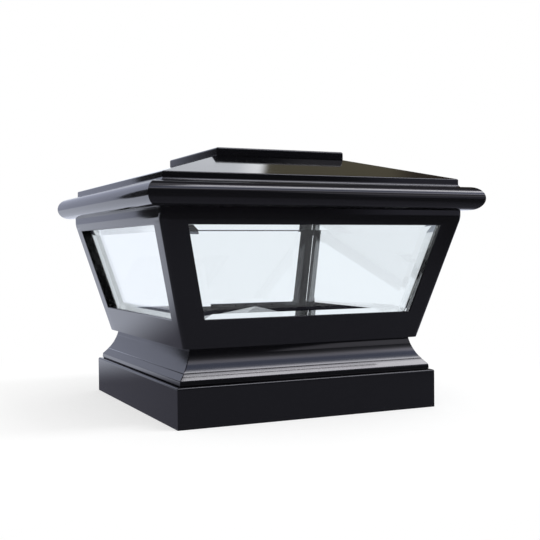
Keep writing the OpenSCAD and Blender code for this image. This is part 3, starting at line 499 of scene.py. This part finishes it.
# %% Base casting
skirt_round, groove = 1.0, 0.6
seal_in, seal_out = 62.5, 65.5
base_outline = (
    [(socket, 0.0), (skirt, 0.0)]
    + arc((skirt - skirt_round, skirt_top - skirt_round), skirt_round, 0, 90, 5)
    + [(lip, skirt_top), (lip - groove, skirt_top + groove / 2), (lip, skirt_top + groove)]
    + [(lip - 0.15, lip_top)] + arc(cove_centre, cove_radius, 221.0, 189.98, 24)
    + [(seal_out, deck_top), (seal_out, deck_top - seal_groove)]
    + [(seal_in, deck_top - seal_groove), (seal_in, deck_top), (0, deck_top), (0, deck_under)]
    + arc(cove_centre, cove_radius + wall, 194.55, 224.66, 14)
    + [(stop, stop_level), (socket, stop_level)]
)


def on_skirt(w, h):
    """True on the outside of the skirt."""
    return w > skirt - skirt_round - 0.1 and h < skirt_top + 0.01


def on_cove(w, h):
    """True on the lip and the cove, and not on the ledge inside."""
    return deck - 2 < w < lip + 0.05 and lip_top - 2.5 < h < deck_top + 0.01 and abs(w - stop) > 0.2


base = bmesh.new()
square_spin(base, base_outline)
bevel(base, mitres(base, on_skirt), 2.0, 6)
bevel(base, mitres(base, on_cove), 0.35, 3)
print("base shell: %d faces" % len(base.faces))

# %% Ribs and bosses under the deck
boss_at, boss_under, boss_radius = foot - 18.5, deck_under - 6.0, 4.8
rib_half, rib_reach = 1.25, deck - wall
buried = deck_under + 1
for side in (-1, 1):
    near, far = side * boss_at - rib_half, side * boss_at + rib_half
    add_box(base, (-rib_reach, near, boss_under), (rib_reach, far, buried))
    add_box(base, (near, -rib_reach, boss_under), (far, rib_reach, buried))
for place in corners(boss_at):
    add_round(base, [(screw_bore, boss_under - 0.02), (boss_radius, boss_under - 0.02),
                     (boss_radius, buried), (screw_bore, buried)], place)
finish_piece("base_casting", base, "cap", "gloss_black", ["post_base"])

# %% [markdown]
# ## The lantern frame
# Four walls lean outwards to a soft knee and a short upright fascia. The outline
# gives the walls, the flange and the ledge for the panes. The windows are cut with
# four planes each: the wall's outer and inner faces are split where the planes
# pass, the middles are deleted and the two open loops are bridged.

# %% Lantern frame's outline


def inner_wall(level):
    """Half width of the lantern frame's inner face at a level."""
    return foot + outer_skin + (level - deck_top) * math.tan(lean) - frame_wall / math.cos(lean)


sill_v = sill / math.cos(lean)
head_v = (sill + window_height) / math.cos(lean)
pane_foot_v = sill_v - 5.0
ledge_top = deck_top + pane_foot_v * math.cos(lean) + frame_wall * math.sin(lean) - 0.1
ledge_under = ledge_top - 2.2
ledge = inner_wall(ledge_top) - glass / math.cos(lean) - 0.6
flange, flange_top, lug_top = 48.0, deck_top + 3.0, frame_top - 1.5
groove_in, groove_out, groove_level = 88.73, 90.13, frame_top - seal_groove
knee_radius, corner_radius = 16.0, 3.9
knee_centre = (knee - knee_radius, knee_level + knee_radius * math.tan(lean / 2))
frame_outside = (
    [(foot, deck_top)]
    + arc(knee_centre, knee_radius, -math.degrees(lean), 0, 12)
    + [(knee, frame_top)]
)
frame_inside = [
    (groove_out, frame_top), (groove_out, groove_level), (groove_in, groove_level), (groove_in, frame_top),
    (inner_wall(frame_top), frame_top), (inner_wall(ledge_top), ledge_top), (ledge, ledge_top),
    (ledge, ledge_under), (inner_wall(ledge_under), ledge_under),
    (inner_wall(flange_top), flange_top), (flange, flange_top), (flange, deck_top),
]
lantern = bmesh.new()
rounded_ring(lantern, [(w + outer_skin, h, corner_radius) for w, h in frame_outside]
             + [(w, h, 0.0) for w, h in frame_inside])
print("lantern shell: %d faces, ledge at %.2f" % (len(lantern.faces), ledge_top))

# %% [markdown]
# ## The windows
# Each window is worked out in the plane of its wall, with one number along the wall
# and one up its lean. The hole widens towards the inside, as a casting's draft, and
# its outer edge is rounded under the paint. The opening sits a little off the
# middle, as it does on the real frame.

# %% Windows
# Depth in the wall, extra half width left and right, lower and upper edge of the hole
OUTER_CUT = (0, (-0.2, 0.6), sill_v + 0.5, head_v)
INNER_CUT = (-frame_wall, (2.4, 3.0), sill_v - 1.9, head_v + 1)
window_round = 1.0


def wall_matrix(k):
    """Turns a wall's own plane (along, up its lean, outwards) into the object's space."""
    tilt = Matrix.Rotation(math.pi / 2 + lean, 4, "X")
    place = Matrix.Translation((0, -(foot + outer_skin) * MM, deck_top * MM))
    return Matrix.Rotation(k * math.pi / 2, 4, "Z") @ place @ tilt


def half_window(v):
    """Half width of a window at a height v up its wall, in mm."""
    return foot + sill_v * math.sin(lean) - stile + (v - sill_v) * math.sin(lean)


def cut_window(bm, k):
    """Opens the window of wall k."""
    from_wall = wall_matrix(k)
    to_wall = from_wall.inverted()
    side_lean = math.atan(math.sin(lean))

    def at_depth(vert, depth):
        return abs((to_wall @ vert.co).z / MM - depth) < 0.01

    def wall_faces(depth):
        return [f for f in bm.faces if all(at_depth(v, depth) for v in f.verts)]

    for depth, more, low, high in (OUTER_CUT, INNER_CUT):
        planes = [((0, low), (0, 1)), ((0, high), (0, 1))]
        for side in (-1, 1):
            wide = half_window(low) + more[side > 0]
            planes.append(((side * wide, low), (math.cos(side_lean), -side * math.sin(side_lean))))
        for (x, v), (nx, nv) in planes:
            faces = wall_faces(depth)
            edges = {e for f in faces for e in f.edges}
            verts = {p for f in faces for p in f.verts}
            bmesh.ops.bisect_plane(bm, geom=faces + list(edges) + list(verts), dist=1e-7,
                                   plane_co=from_wall @ Vector((x * MM, v * MM, 0)),
                                   plane_no=from_wall.to_3x3() @ Vector((nx, nv, 0)))
        gone = []
        for face in wall_faces(depth):
            p = to_wall @ face.calc_center_median() / MM
            if low < p.y < high and abs(p.x) < half_window(p.y) + more[p.x > 0]:
                gone.append(face)
        bmesh.ops.delete(bm, geom=gone, context="FACES")
    open_edges = [e for e in bm.edges if len(e.link_faces) == 1]
    sides = bmesh.ops.bridge_loops(bm, edges=open_edges)["faces"]
    outer_edges = {e for f in sides for e in f.edges if all(at_depth(v, 0) for v in e.verts)}
    bevel(bm, outer_edges, window_round, 4)
    print("window %d: %d edges bridged" % (k, len(open_edges)))


for k in range(4):
    cut_window(lantern, k)

# %% [markdown]
# ## Ribs and screw lugs
# A rib in each corner parts two panes and holds them in place. An arm on the rib
# carries a round lug with a countersunk hole, for one of the roof's screws.

# %% Ribs and lugs
rib_proud, rib_thick = 3.2, 3.6
lug_radius, lug_under = 5.2, lug_top - 2.6
countersink, countersink_deep = 3.85, 2.3
lug_at = inner_wall(lug_under) - outer_skin - glass / math.cos(lean) - 6.2


def add_rib(bm, k):
    """The rib that parts two panes in one corner, with the arm to the roof screw's lug."""
    upright = Matrix.Rotation(math.radians(90 * k + 45), 4, "Z") @ Matrix.Rotation(math.pi / 2, 4, "X")
    root = math.sqrt(2)
    low, high = inner_wall(flange_top), inner_wall(lug_top)
    blade = [(root * (low - rib_proud), flange_top - 0.5), (root * low + 1, flange_top - 0.5),
             (root * high + 1, lug_top), (root * (high - rib_proud), lug_top)]
    arm_in, arm_out = root * lug_at + 3, root * (high - rib_proud) + 1
    arm = [(arm_in, lug_under), (arm_out, lug_under), (arm_out, lug_top), (arm_in, lug_top)]
    for outline in (blade, arm):
        add_prism(bm, outline, rib_thick, upright)


for k in range(4):
    add_rib(lantern, k)
lug_outline = [(screw_bore, lug_top), (lug_radius, lug_top), (lug_radius, lug_under),
               (countersink, lug_under), (screw_bore, lug_under + countersink_deep)]
for place in corners(lug_at):
    add_round(lantern, lug_outline, place)
finish_piece("lantern_casting", lantern, "cap", "gloss_black", ["lantern_frame"])

# %% [markdown]
# ## The roof
# A bullnose runs round the eaves, with a small fillet, an upright plinth and four
# slopes above it. The casting is open below, so its ceiling is the attic, and the
# flat top has the hatch for the solar module. Four posts inside take the screws
# that come up through the lantern's lugs.

# %% Roof casting
roof_wall, hatch, fillet = 2.6, 35.0, 2.0
post_radius, post_foot, post_top, bore_top = 4.5, frame_top + 0.02, 136.2, 126.4
bull_centre = (bull, frame_top + bull_radius)
attic, attic_top = plinth - roof_wall, land - roof_wall


def roof_under(w):
    """Height of the roof's under side at a half width."""
    return plinth_top - roof_wall / math.cos(pitch) + (plinth - w) * math.tan(pitch)


def on_slopes(w, h):
    """True on the plinth and the slopes, and not on the casting's inside."""
    return w > bezel - 1 and h > plinth_top - 5 and h > roof_under(w) + 1


attic_top_half = plinth - (attic_top - roof_under(plinth)) / math.tan(pitch)
roof_outline = (
    [(attic, frame_top)]
    + arc(bull_centre, bull_radius, -90, 90, 20)
    + arc((plinth + fillet, eaves + fillet), fillet, 270, 180, 8)
    + [(plinth, plinth_top), (bezel, land), (hatch, land), (hatch, attic_top)]
    + [(attic_top_half, attic_top), (attic, roof_under(attic))]
)
roof = bmesh.new()
square_spin(roof, roof_outline)
bevel(roof, rim_edges(roof, [(plinth, plinth_top), (hatch, land)]), 0.4, 3)
bevel(roof, mitres(roof, on_slopes), 0.35, 3)
for place in corners(lug_at):
    add_round(roof, [(screw_bore, post_foot), (post_radius, post_foot), (post_radius, post_top),
                     (0, post_top), (0, bore_top), (screw_bore, bore_top)], place)
finish_piece("roof_casting", roof, "cap", "gloss_black", ["roof_shell"])

# %% [markdown]
# ## The bezel of the solar module
# A square ring of sheet-like walls with a lip over the panel. Its top edge is
# rounded, because that edge catches the sky. Four small bosses under the lip take
# the screws that hold the housing.

# %% Bezel
bezel_in, lip_in, lip_under, bezel_edge = bezel - 2.0, 33.5, bezel_top - 1.2, 0.6
boss_place, boss_bore, boss_out, boss_foot = 37.2, 1.05, 2.0, land + 1.2
bezel_outline = [(bezel_in, land), (bezel, land), (bezel, bezel_top - bezel_edge),
                 (bezel - bezel_edge, bezel_top), (lip_in, bezel_top), (lip_in, lip_under),
                 (bezel_in, lip_under)]
boss_outline = [(boss_bore, boss_foot), (boss_out, boss_foot), (boss_out, lip_under + 0.6),
                (0, lip_under + 0.6), (0, lip_under - 0.4), (boss_bore, lip_under - 0.4)]
ring = bmesh.new()
square_spin(ring, bezel_outline)
bevel(ring, mitres(ring, lambda w, h: w > bezel - bezel_edge - 0.1), 1.5, 5)
bevel(ring, rim_edges(ring, [(lip_in, bezel_top), (lip_in, lip_under)]), 0.3, 3)
for place in corners(boss_place):
    add_round(ring, boss_outline, place, 24)
finish_piece("bezel_ring", ring, "solar_module", "gloss_black", ["solar_bezel"])

# %% [markdown]
# ## The panes
# Each pane is a flat sheet whose inner face is ground down round the edge. The
# sheet is one face in the plane of its wall, drawn out to the thickness of the
# edge and then inset by the width of the bevel, which rises to full thickness.
# The flat sits a little off the middle, so the bevel is wider on one side.

# %% Panes
pane_top_v, pane_side = head_v + 8.0, stile - 3.0
flat_low_v, flat_high_v = sill_v + 0.5, head_v - 4.5


def pane_corners():
    """The pane's four corners in the plane of its wall, in mm."""
    a = foot + pane_foot_v * math.sin(lean) - pane_side
    b = foot + pane_top_v * math.sin(lean) - pane_side
    return [(-a, pane_foot_v), (a, pane_foot_v), (b, pane_top_v), (-b, pane_top_v)]


def flat_corners():
    """The corners of the flat inside the bevel, moved in from the window's sides."""
    return [(side * half_window(v) - inset, v) for side, v, inset in
            ((-1, flat_low_v, -7.0), (1, flat_low_v, 5.0), (1, flat_high_v, 6.0), (-1, flat_high_v, -7.0))]


PANES = ("glass_front", "glass_right", "glass_back", "glass_left")
for k, node in enumerate(PANES):
    pane = bmesh.new()
    outer = pane.faces.new([pane.verts.new((x * MM, v * MM, -frame_wall * MM)) for x, v in pane_corners()])
    made = bmesh.ops.extrude_face_region(pane, geom=[outer])["geom"]
    inner = [f for f in made if isinstance(f, bmesh.types.BMFace)][0]
    bmesh.ops.translate(pane, vec=(0, 0, -(glass - glass_drop) * MM), verts=inner.verts)
    bmesh.ops.inset_region(pane, faces=[inner], thickness=5.0 * MM, use_even_offset=True)
    for vert in inner.verts:
        near = min(flat_corners(), key=lambda c: (c[0] * MM - vert.co.x) ** 2 + (c[1] * MM - vert.co.y) ** 2)
        vert.co = Vector((*near, -frame_wall - glass)) * MM
    bmesh.ops.recalc_face_normals(pane, faces=pane.faces)
    bevel(pane, sharp_edges(pane, 60), 0.2, 2)
    bmesh.ops.transform(pane, matrix=wall_matrix(k), verts=pane.verts)
    finish_piece(node.replace("glass_", "pane_"), pane, "cap", "pane_glass", [node], 5)

# %% [markdown]
# ## Pieces that keep their solid's shape
# Plates, boards, screws, seals and the housing have the right form in CAD already.
# What they lack is the softened edge. A copy of the solid's mesh is merged, its
# flat faces are joined up, and a Bevel modifier rounds what is left of the edges.
# The pyramid floor is the one that changes: its slopes are made steeper under the
# same point, as the photograph shows them.

# %% Softened copies
steeper = 0.74
SOFT = (
    # node, slot, edge width in mm, body
    ("base_seal", "seal_rubber", 0.15, "cap"),
    ("base_screws", "screw_steel", 0.15, "cap"),
    ("floor_pyramid", "gloss_black", 0.2, "cap"),
    ("ceiling_plate", "ceiling_white", 0.2, "cap"),
    ("roof_seal", "seal_rubber", 0.15, "cap"),
    ("roof_screws", "screw_steel", 0.1, "cap"),
    ("cover_seal", "seal_rubber", 0.1, "solar_module"),
    ("cover_glass", "pane_glass", 0.25, "solar_module"),
    ("solar_cells", "cell_blue", 0.1, "solar_module"),
    ("module_housing", "housing_plastic", 0.2, "solar_module"),
    ("bezel_screws", "screw_steel", 0.06, "solar_module"),
    ("control_board", "board_green", 0.08, "solar_module"),
    ("board_screws", "screw_steel", 0.08, "solar_module"),
    ("contact_plus", "contact_nickel", 0.1, "solar_module"),
    ("contact_minus", "contact_nickel", 0.1, "solar_module"),
    ("lamp_board", "board_white", 0.1, "solar_module"),
    ("lamp_chips", "chip_yellow", 0.1, "solar_module"),
    ("lamp_lens", "lens_frost", 0.15, "solar_module"),
    ("lamp_screws", "screw_steel", 0.08, "solar_module"),
    ("switch_body", "switch_plastic", 0.2, "solar_module"),
    ("switch_knob", "knob_white", 0.15, "switch_knob"),
    ("door_pin", "screw_steel", 0.15, "solar_module"),
    ("battery_door", "housing_plastic", 0.2, "battery_door"),
)
LOOKS = {"cover_glass": "cover_clear"}


def steepen(bm):
    """Moves the foot of the pyramid's slopes inwards."""
    foot_corners = [v for v in bm.verts if abs(abs(v.co.x) - abs(v.co.y)) < 1e-6 and v.co.x != 0]
    bmesh.ops.scale(bm, vec=(steeper, steeper, 1.0), verts=foot_corners)


for node, slot, edge, body in SOFT:
    copy = bmesh.new()
    copy.from_mesh(nodes[node].data)
    bmesh.ops.remove_doubles(copy, verts=copy.verts, dist=2e-6)
    if node == "floor_pyramid":
        steepen(copy)
    bmesh.ops.dissolve_limit(copy, angle_limit=math.radians(0.5), verts=copy.verts, edges=copy.edges)
    finish_piece(node + "_soft", copy, body, slot, [node], edge=edge, look=LOOKS.get(node))

# %% [markdown]
# ## Wires and spring
# These are swept tubes in CAD and only need a finish, so the
# solids themselves stay.

# %% Wires and spring
WIRES = {"battery_spring": "contact_nickel"}
for lead in ("panel_wire", "lamp_wire", "switch_wire"):
    WIRES[lead + "_red"] = "wire_red"
    WIRES[lead + "_black"] = "wire_black"
for node, slot in WIRES.items():
    nodes[node].data.materials.clear()
    nodes[node].data.materials.append(finishes[slot])
print("kept solids:", sorted(WIRES))

# %% [markdown]
# ## The battery
# An AA cell is a steel can in a shrunk sleeve. The sleeve is rolled over both ends
# and leaves a ring of bare metal, and the plus end has its nub. The sleeve, the nub
# and the flat foot are spun from outlines along the cell's own axis.

# %% Battery
cell_low, cell_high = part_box("battery")
cell_centre = Vector(((cell_low[0] + cell_high[0]) / 2, 0, (cell_low[2] + cell_high[2]) / 2))
cell_radius = (cell_high[2] - cell_low[2]) / 2 / MM
minus_end, plus_end = cell_low[1] / MM, cell_high[1] / MM
shoulder = plus_end - 1.3
sleeve_round = 0.8


def spin_along_y(name, outline, slot, replaced=()):
    """Spins an outline of (radius, distance along Y), in mm, about the battery's axis."""
    bm = bmesh.new()
    add_round(bm, outline, steps=48)
    turn = Matrix.Rotation(-math.pi / 2, 4, "X")
    bmesh.ops.transform(bm, matrix=Matrix.Translation(cell_centre) @ turn, verts=bm.verts)
    finish_piece(name, bm, "solar_module", slot, replaced, 40)


sleeve = (
    [(0, minus_end + 0.4), (5.0, minus_end + 0.4), (5.0, minus_end + 0.15)]
    + [(cell_radius - sleeve_round, minus_end)]
    + arc((cell_radius - sleeve_round, minus_end + sleeve_round), sleeve_round, -90, 0, 4)
    + arc((cell_radius - sleeve_round, shoulder - sleeve_round), sleeve_round, 0, 90, 4)
    + [(5.2, shoulder - 0.05), (5.2, shoulder - 0.4), (0, shoulder - 0.4)]
)
nub = (
    [(0, shoulder - 0.6), (5.1, shoulder - 0.6), (5.1, shoulder - 0.15), (3.6, shoulder - 0.15)]
    + [(2.9, shoulder + 0.1), (2.75, shoulder + 0.5)]
    + arc((2.35, plus_end - 0.4), 0.4, 0, 90, 4)
    + [(0, plus_end)]
)
cell_foot = [(0, minus_end + 0.05), (3.6, minus_end + 0.05), (4.0, minus_end + 0.2),
             (4.9, minus_end + 0.2), (4.9, minus_end + 0.6), (0, minus_end + 0.6)]
spin_along_y("battery_sleeve", sleeve, "battery_wrap", ["battery"])
spin_along_y("battery_nub", nub, "contact_nickel")
spin_along_y("battery_foot", cell_foot, "contact_nickel")

# %% [markdown]
# ## The studio
# The photograph is a studio picture on white. What black gloss paint mirrors matters
# far more than what lights it, so the studio is built for its mirror image: each
# face of the lantern was read as a small mirror, which told where the room is white,
# where it is dark and where the lamps hang. The camera only sees white, and rough
# surfaces get an even light, so that a colour renders about as it is written.

# %% Shader helpers


def shader_mix(tree, mask, first, second):
    """A Mix Shader that goes from first to second with a mask socket."""
    mix = tree.nodes.new("ShaderNodeMixShader")
    for given, value in zip(mix.inputs, (mask, first, second)):
        tree.links.new(value, given)
    return mix.outputs[0]


def step_up(tree, value, start, end):
    """0 below start and 1 above end, with a smooth rise."""
    node = tree.nodes.new("ShaderNodeMapRange")
    node.interpolation_type = "SMOOTHSTEP"
    node.inputs["From Min"].default_value = start
    node.inputs["From Max"].default_value = end
    tree.links.new(value, node.inputs["Value"])
    return node.outputs["Result"]


def tint(tree, mask, first, second):
    """A colour that goes from first to second with a mask. Each is a socket or a colour."""
    mix = tree.nodes.new("ShaderNodeMix")
    mix.data_type = "RGBA"
    tree.links.new(mask, mix.inputs["Factor"])
    for label, value in (("A", first), ("B", second)):
        if isinstance(value, tuple):
            mix.inputs[label].default_value = (*value, 1.0)
        else:
            tree.links.new(value, mix.inputs[label])
    return mix.outputs["Result"]


def looked_at(tree):
    """Light path masks: seen by the camera or through glass, and seen in a mirror."""
    path = tree.nodes.new("ShaderNodeLightPath")
    seen = math_node(tree, "MAXIMUM", path.outputs["Is Camera Ray"], path.outputs["Is Transmission Ray"])
    return seen, path.outputs["Is Glossy Ray"]


def stage_plane(name, corner_points, material):
    """A flat four-sided stage object between four points in metres."""
    bm = bmesh.new()
    bm.faces.new([bm.verts.new(p) for p in corner_points])
    mesh = bpy.data.meshes.new(name)
    bm.to_mesh(mesh)
    bm.free()
    mesh.materials.append(material)
    card = bpy.data.objects.new(name, mesh)
    bpy.context.scene.collection.objects.link(card)
    return card


print("shader helpers ready")

# %% [markdown]
# ## The floor
# The object stands on white paper that fades into the white behind it, and keeps
# its soft shadow close by. In a mirror the same floor is dark in front and bright
# behind, as the cove and the skirt show it. From below it is see-through, so that
# the underside of the base can be looked at.

# %% Floor
DARK_NEAR, DARK_FAR, BRIGHT_BACK = (0.19, 0.19, 0.24), (0.05, 0.05, 0.06), (0.98, 1.03, 1.2)
floor_half = 6
floor_paint = bpy.data.materials.new("floor_white")
floor_paint.use_nodes = True
tree = floor_paint.node_tree
shader = tree.nodes["Principled BSDF"]
shader.inputs["Base Color"].default_value = (0.93, 0.93, 0.93, 1.0)
shader.inputs["Roughness"].default_value = 0.9
shader.inputs["Specular IOR Level"].default_value = 0.0
x, y, z = axes_of(tree, "Object")
squares = [math_node(tree, "MULTIPLY", axis, axis) for axis in (x, y)]
distance = math_node(tree, "SQRT", math_node(tree, "ADD", *squares))

# What a mirror sees
in_front = tint(tree, step_up(tree, distance, 0.2, 0.4), DARK_NEAR, DARK_FAR)
mirrored = tree.nodes.new("ShaderNodeEmission")
tree.links.new(tint(tree, step_up(tree, y, 0.1, 0.28), in_front, BRIGHT_BACK), mirrored.inputs["Color"])

# What the camera sees: lit paper with its shadow, lifted to pure white further out
paper_white = tree.nodes.new("ShaderNodeEmission")
lift = tree.nodes.new("ShaderNodeEmission")
lift.inputs["Strength"].default_value = 0.25
lit_paper = tree.nodes.new("ShaderNodeAddShader")
tree.links.new(shader.outputs[0], lit_paper.inputs[0])
tree.links.new(lift.outputs[0], lit_paper.inputs[1])
to_paper = math_node(tree, "MULTIPLY_ADD", step_up(tree, distance, 0.1, 0.3), 0.55, 0.45)
lifted = shader_mix(tree, to_paper, lit_paper.outputs[0], paper_white.outputs[0])

seen, in_mirror = looked_at(tree)
plain = shader_mix(tree, in_mirror, shader.outputs[0], mirrored.outputs[0])
from_above = shader_mix(tree, seen, plain, lifted)
from_below = tree.nodes.new("ShaderNodeBsdfTransparent").outputs[0]
backfacing = tree.nodes.new("ShaderNodeNewGeometry").outputs["Backfacing"]
surface = shader_mix(tree, backfacing, from_above, from_below)
tree.links.new(surface, tree.nodes["Material Output"].inputs["Surface"])
stage_plane("floor", [(-floor_half, -floor_half, 0), (floor_half, -floor_half, 0),
                      (floor_half, floor_half, 0), (-floor_half, floor_half, 0)], floor_paint)
print("floor: %d m wide" % (2 * floor_half))

# %% [markdown]
# ## The room in the mirror
# The world's colour depends on the direction. Behind hangs the white paper, between
# two upright edges, with a bright core beside its right edge and dark room beyond
# it. In front the room is dark, with a grey patch low on the right, where the end
# of the bullnose looks, and a ragged bright edge of sky higher up.

# %% World
world = bpy.data.worlds.new("studio")
world.use_nodes = True
bpy.context.scene.world = world
tree = world.node_tree
tree.nodes.clear()
out = tree.nodes.new("ShaderNodeOutputWorld")
x, y, z = axes_of(tree, "Generated")

# Behind: each edge is a line of constant direction, 0 on the edge and above 0 inside it
right_edge = math_node(tree, "MULTIPLY_ADD", y, 0.514, math_node(tree, "MULTIPLY", x, -1.0))
left_edge = math_node(tree, "MULTIPLY_ADD", y, 0.345, x)
paper = tint(tree, step_up(tree, x, 0.0, 0.33), (0.66, 0.7, 0.88), (1.16, 1.2, 1.28))
paper = tint(tree, step_up(tree, right_edge, 0.012, 0.04), (1.6, 1.62, 1.68), paper)
room_right = tint(tree, step_up(tree, x, 0.53, 0.56), (0.14, 0.125, 0.085), (0.05, 0.04, 0.03))
behind = tint(tree, step_up(tree, right_edge, -0.003, 0.01), room_right, paper)
behind = tint(tree, step_up(tree, left_edge, -0.05, 0.03), (0.06, 0.06, 0.07), behind)
behind = tint(tree, step_up(tree, z, 0.55, 0.7), behind, (0.13, 0.125, 0.15))

# In front: the dark room, the grey patch and the ragged edge of sky
front = tint(tree, step_up(tree, x, 0.48, 0.56), (0.03, 0.03, 0.04), (0.32, 0.32, 0.42))
front = tint(tree, step_up(tree, z, 0.1, 0.3), front, (0.03, 0.03, 0.04))
ragged = tree.nodes.new("ShaderNodeTexNoise")
ragged.inputs["Scale"].default_value = 14.0
ragged.inputs["Detail"].default_value = 1.0
sky_edge = math_node(tree, "MULTIPLY_ADD", z, 0.415, x)
sky_edge = math_node(tree, "MULTIPLY_ADD", ragged.outputs["Fac"], 0.05, sky_edge)
low_sky = math_node(tree, "MULTIPLY", step_up(tree, sky_edge, 0.622, 0.64), step_up(tree, z, 0.17, 0.24))
front = tint(tree, low_sky, front, (0.85, 0.83, 0.95))

mirrored = tree.nodes.new("ShaderNodeBackground")
tree.links.new(tint(tree, step_up(tree, y, -0.05, 0.05), front, behind), mirrored.inputs["Color"])
fill = tree.nodes.new("ShaderNodeBackground")
fill.inputs["Strength"].default_value = 0.75
white = tree.nodes.new("ShaderNodeBackground")
for flat in (fill, white):
    flat.inputs["Color"].default_value = (1.0, 1.0, 1.0, 1.0)
seen, in_mirror = looked_at(tree)
lit = shader_mix(tree, in_mirror, fill.outputs[0], mirrored.outputs[0])
tree.links.new(shader_mix(tree, seen, lit, white.outputs[0]), out.inputs["Surface"])
print("world: %d nodes" % len(tree.nodes))

# %% [markdown]
# ## Lamp and cards
# A long softbox hangs in front, high up, and only gives light and shadow. A wide
# card just above it is its mirror image: soft streaks in the cove, and a bright
# band that becomes the line along the bullnose. A dark flag stands behind on the
# left, as in any studio where the white paper would flatten a black edge.

# %% Softbox
lamp_level = 2.4
strip_x, strip_y = 0.8 * lamp_level, -0.42 * lamp_level
strip_data = bpy.data.lights.new("front_strip", "AREA")
strip_data.shape = "RECTANGLE"
strip_data.size, strip_data.size_y = 1.1 * lamp_level, 0.28 * lamp_level
strip_data.energy = 38
strip_data.color = (0.98, 0.99, 1.0)
strip = bpy.data.objects.new("front_strip", strip_data)
strip_place = Vector((strip_x, strip_y, lamp_level + 0.1))
downwards = Vector((strip_x, strip_y, 0)) - strip_place
strip.matrix_world = Matrix.Translation(strip_place) @ downwards.to_track_quat("-Z", "Y").to_matrix().to_4x4()
strip.visible_glossy = False
bpy.context.scene.collection.objects.link(strip)

# %% Streaks of the sky card
card_low, card_high = 0.35 * lamp_level, 2.2 * lamp_level
card_front, card_back, card_level = -1.9 * lamp_level, -0.27 * lamp_level, lamp_level + 0.15
BANDS = (
    # place between the card's front and back, and the colour of the band there
    (0.0, (0.1, 0.1, 0.12)),
    (0.19, (0.35, 0.35, 0.4)),
    (0.32, (1.5, 1.45, 1.65)),
    (0.44, (2.2, 2.2, 2.6)),
    (0.52, (1.0, 1.08, 1.5)),
    (0.63, (0.85, 0.95, 1.4)),
    (0.74, (1.6, 1.7, 2.1)),
    (0.79, (7.0, 7.0, 7.6)),
    (0.84, (8.0, 8.0, 8.6)),
    (0.89, (3.0, 3.0, 3.4)),
    (0.94, (10.0, 9.9, 10.5)),
    (1.0, (10.0, 9.9, 10.5)),
)
streaks = bpy.data.materials.new("sky_card")
streaks.use_nodes = True
tree = streaks.node_tree
tree.nodes.clear()
x, y, z = axes_of(tree, "Object")
place = tree.nodes.new("ShaderNodeTexCoord")
stretch = tree.nodes.new("ShaderNodeMapping")
stretch.inputs["Scale"].default_value = (0.35, 2.6, 1.0)
tree.links.new(place.outputs["Object"], stretch.inputs["Vector"])
cloud = tree.nodes.new("ShaderNodeTexNoise")
cloud.inputs["Scale"].default_value = 1.0
cloud.inputs["Detail"].default_value = 2.0
tree.links.new(stretch.outputs["Vector"], cloud.inputs["Vector"])
ramp = tree.nodes.new("ShaderNodeValToRGB")
ramp.color_ramp.elements[0].color = (*BANDS[0][1], 1.0)
ramp.color_ramp.elements[1].color = (*BANDS[-1][1], 1.0)
for spot, colour in BANDS[1:-1]:
    ramp.color_ramp.elements.new(spot).color = (*colour, 1.0)
along = tree.nodes.new("ShaderNodeMapRange")
along.inputs["From Min"].default_value = -1.7 * lamp_level
along.inputs["From Max"].default_value = card_back
wavering = math_node(tree, "SUBTRACT", cloud.outputs["Fac"], 0.5)
tree.links.new(math_node(tree, "MULTIPLY_ADD", wavering, 0.5, y), along.inputs["Value"])
tree.links.new(along.outputs["Result"], ramp.inputs["Fac"])
glow = tree.nodes.new("ShaderNodeEmission")
tree.links.new(ramp.outputs["Color"], glow.inputs["Color"])
to_right = step_up(tree, x, 0.8 * lamp_level, 1.3 * lamp_level)
tree.links.new(math_node(tree, "MULTIPLY_ADD", to_right, 1.0, 1.0), glow.inputs["Strength"])
tree.links.new(glow.outputs[0], tree.nodes.new("ShaderNodeOutputMaterial").inputs["Surface"])
print("streaks:", len(BANDS))

# %% Cards


def mirror_only(card):
    """Only mirrors see the card. It lights nothing and throws no shadow."""
    card.visible_camera = False
    card.visible_diffuse = False
    card.visible_transmission = False
    card.visible_volume_scatter = False
    card.visible_shadow = False


dark_cloth = bpy.data.materials.new("flag_cloth")
dark_cloth.use_nodes = True
shader = dark_cloth.node_tree.nodes["Principled BSDF"]
shader.inputs["Base Color"].default_value = (0.01, 0.01, 0.01, 1.0)
shader.inputs["Roughness"].default_value = 1.0
sky_corners = [(card_low, card_front, card_level), (card_high, card_front, card_level),
               (card_high, card_back, card_level), (card_low, card_back, card_level)]
flag_left, flag_y, flag_low, flag_high = -0.6, 0.495, 0.07, 0.235
flag_corners = [(flag_left, flag_y, flag_low), (-0.268, flag_y, flag_low),
                (-0.245, flag_y, flag_high), (flag_left, flag_y, flag_high)]
for name, card_corners, cloth in (("sky_card", sky_corners, streaks), ("flag", flag_corners, dark_cloth)):
    mirror_only(stage_plane(name, card_corners, cloth))
print("cards: sky_card, flag")
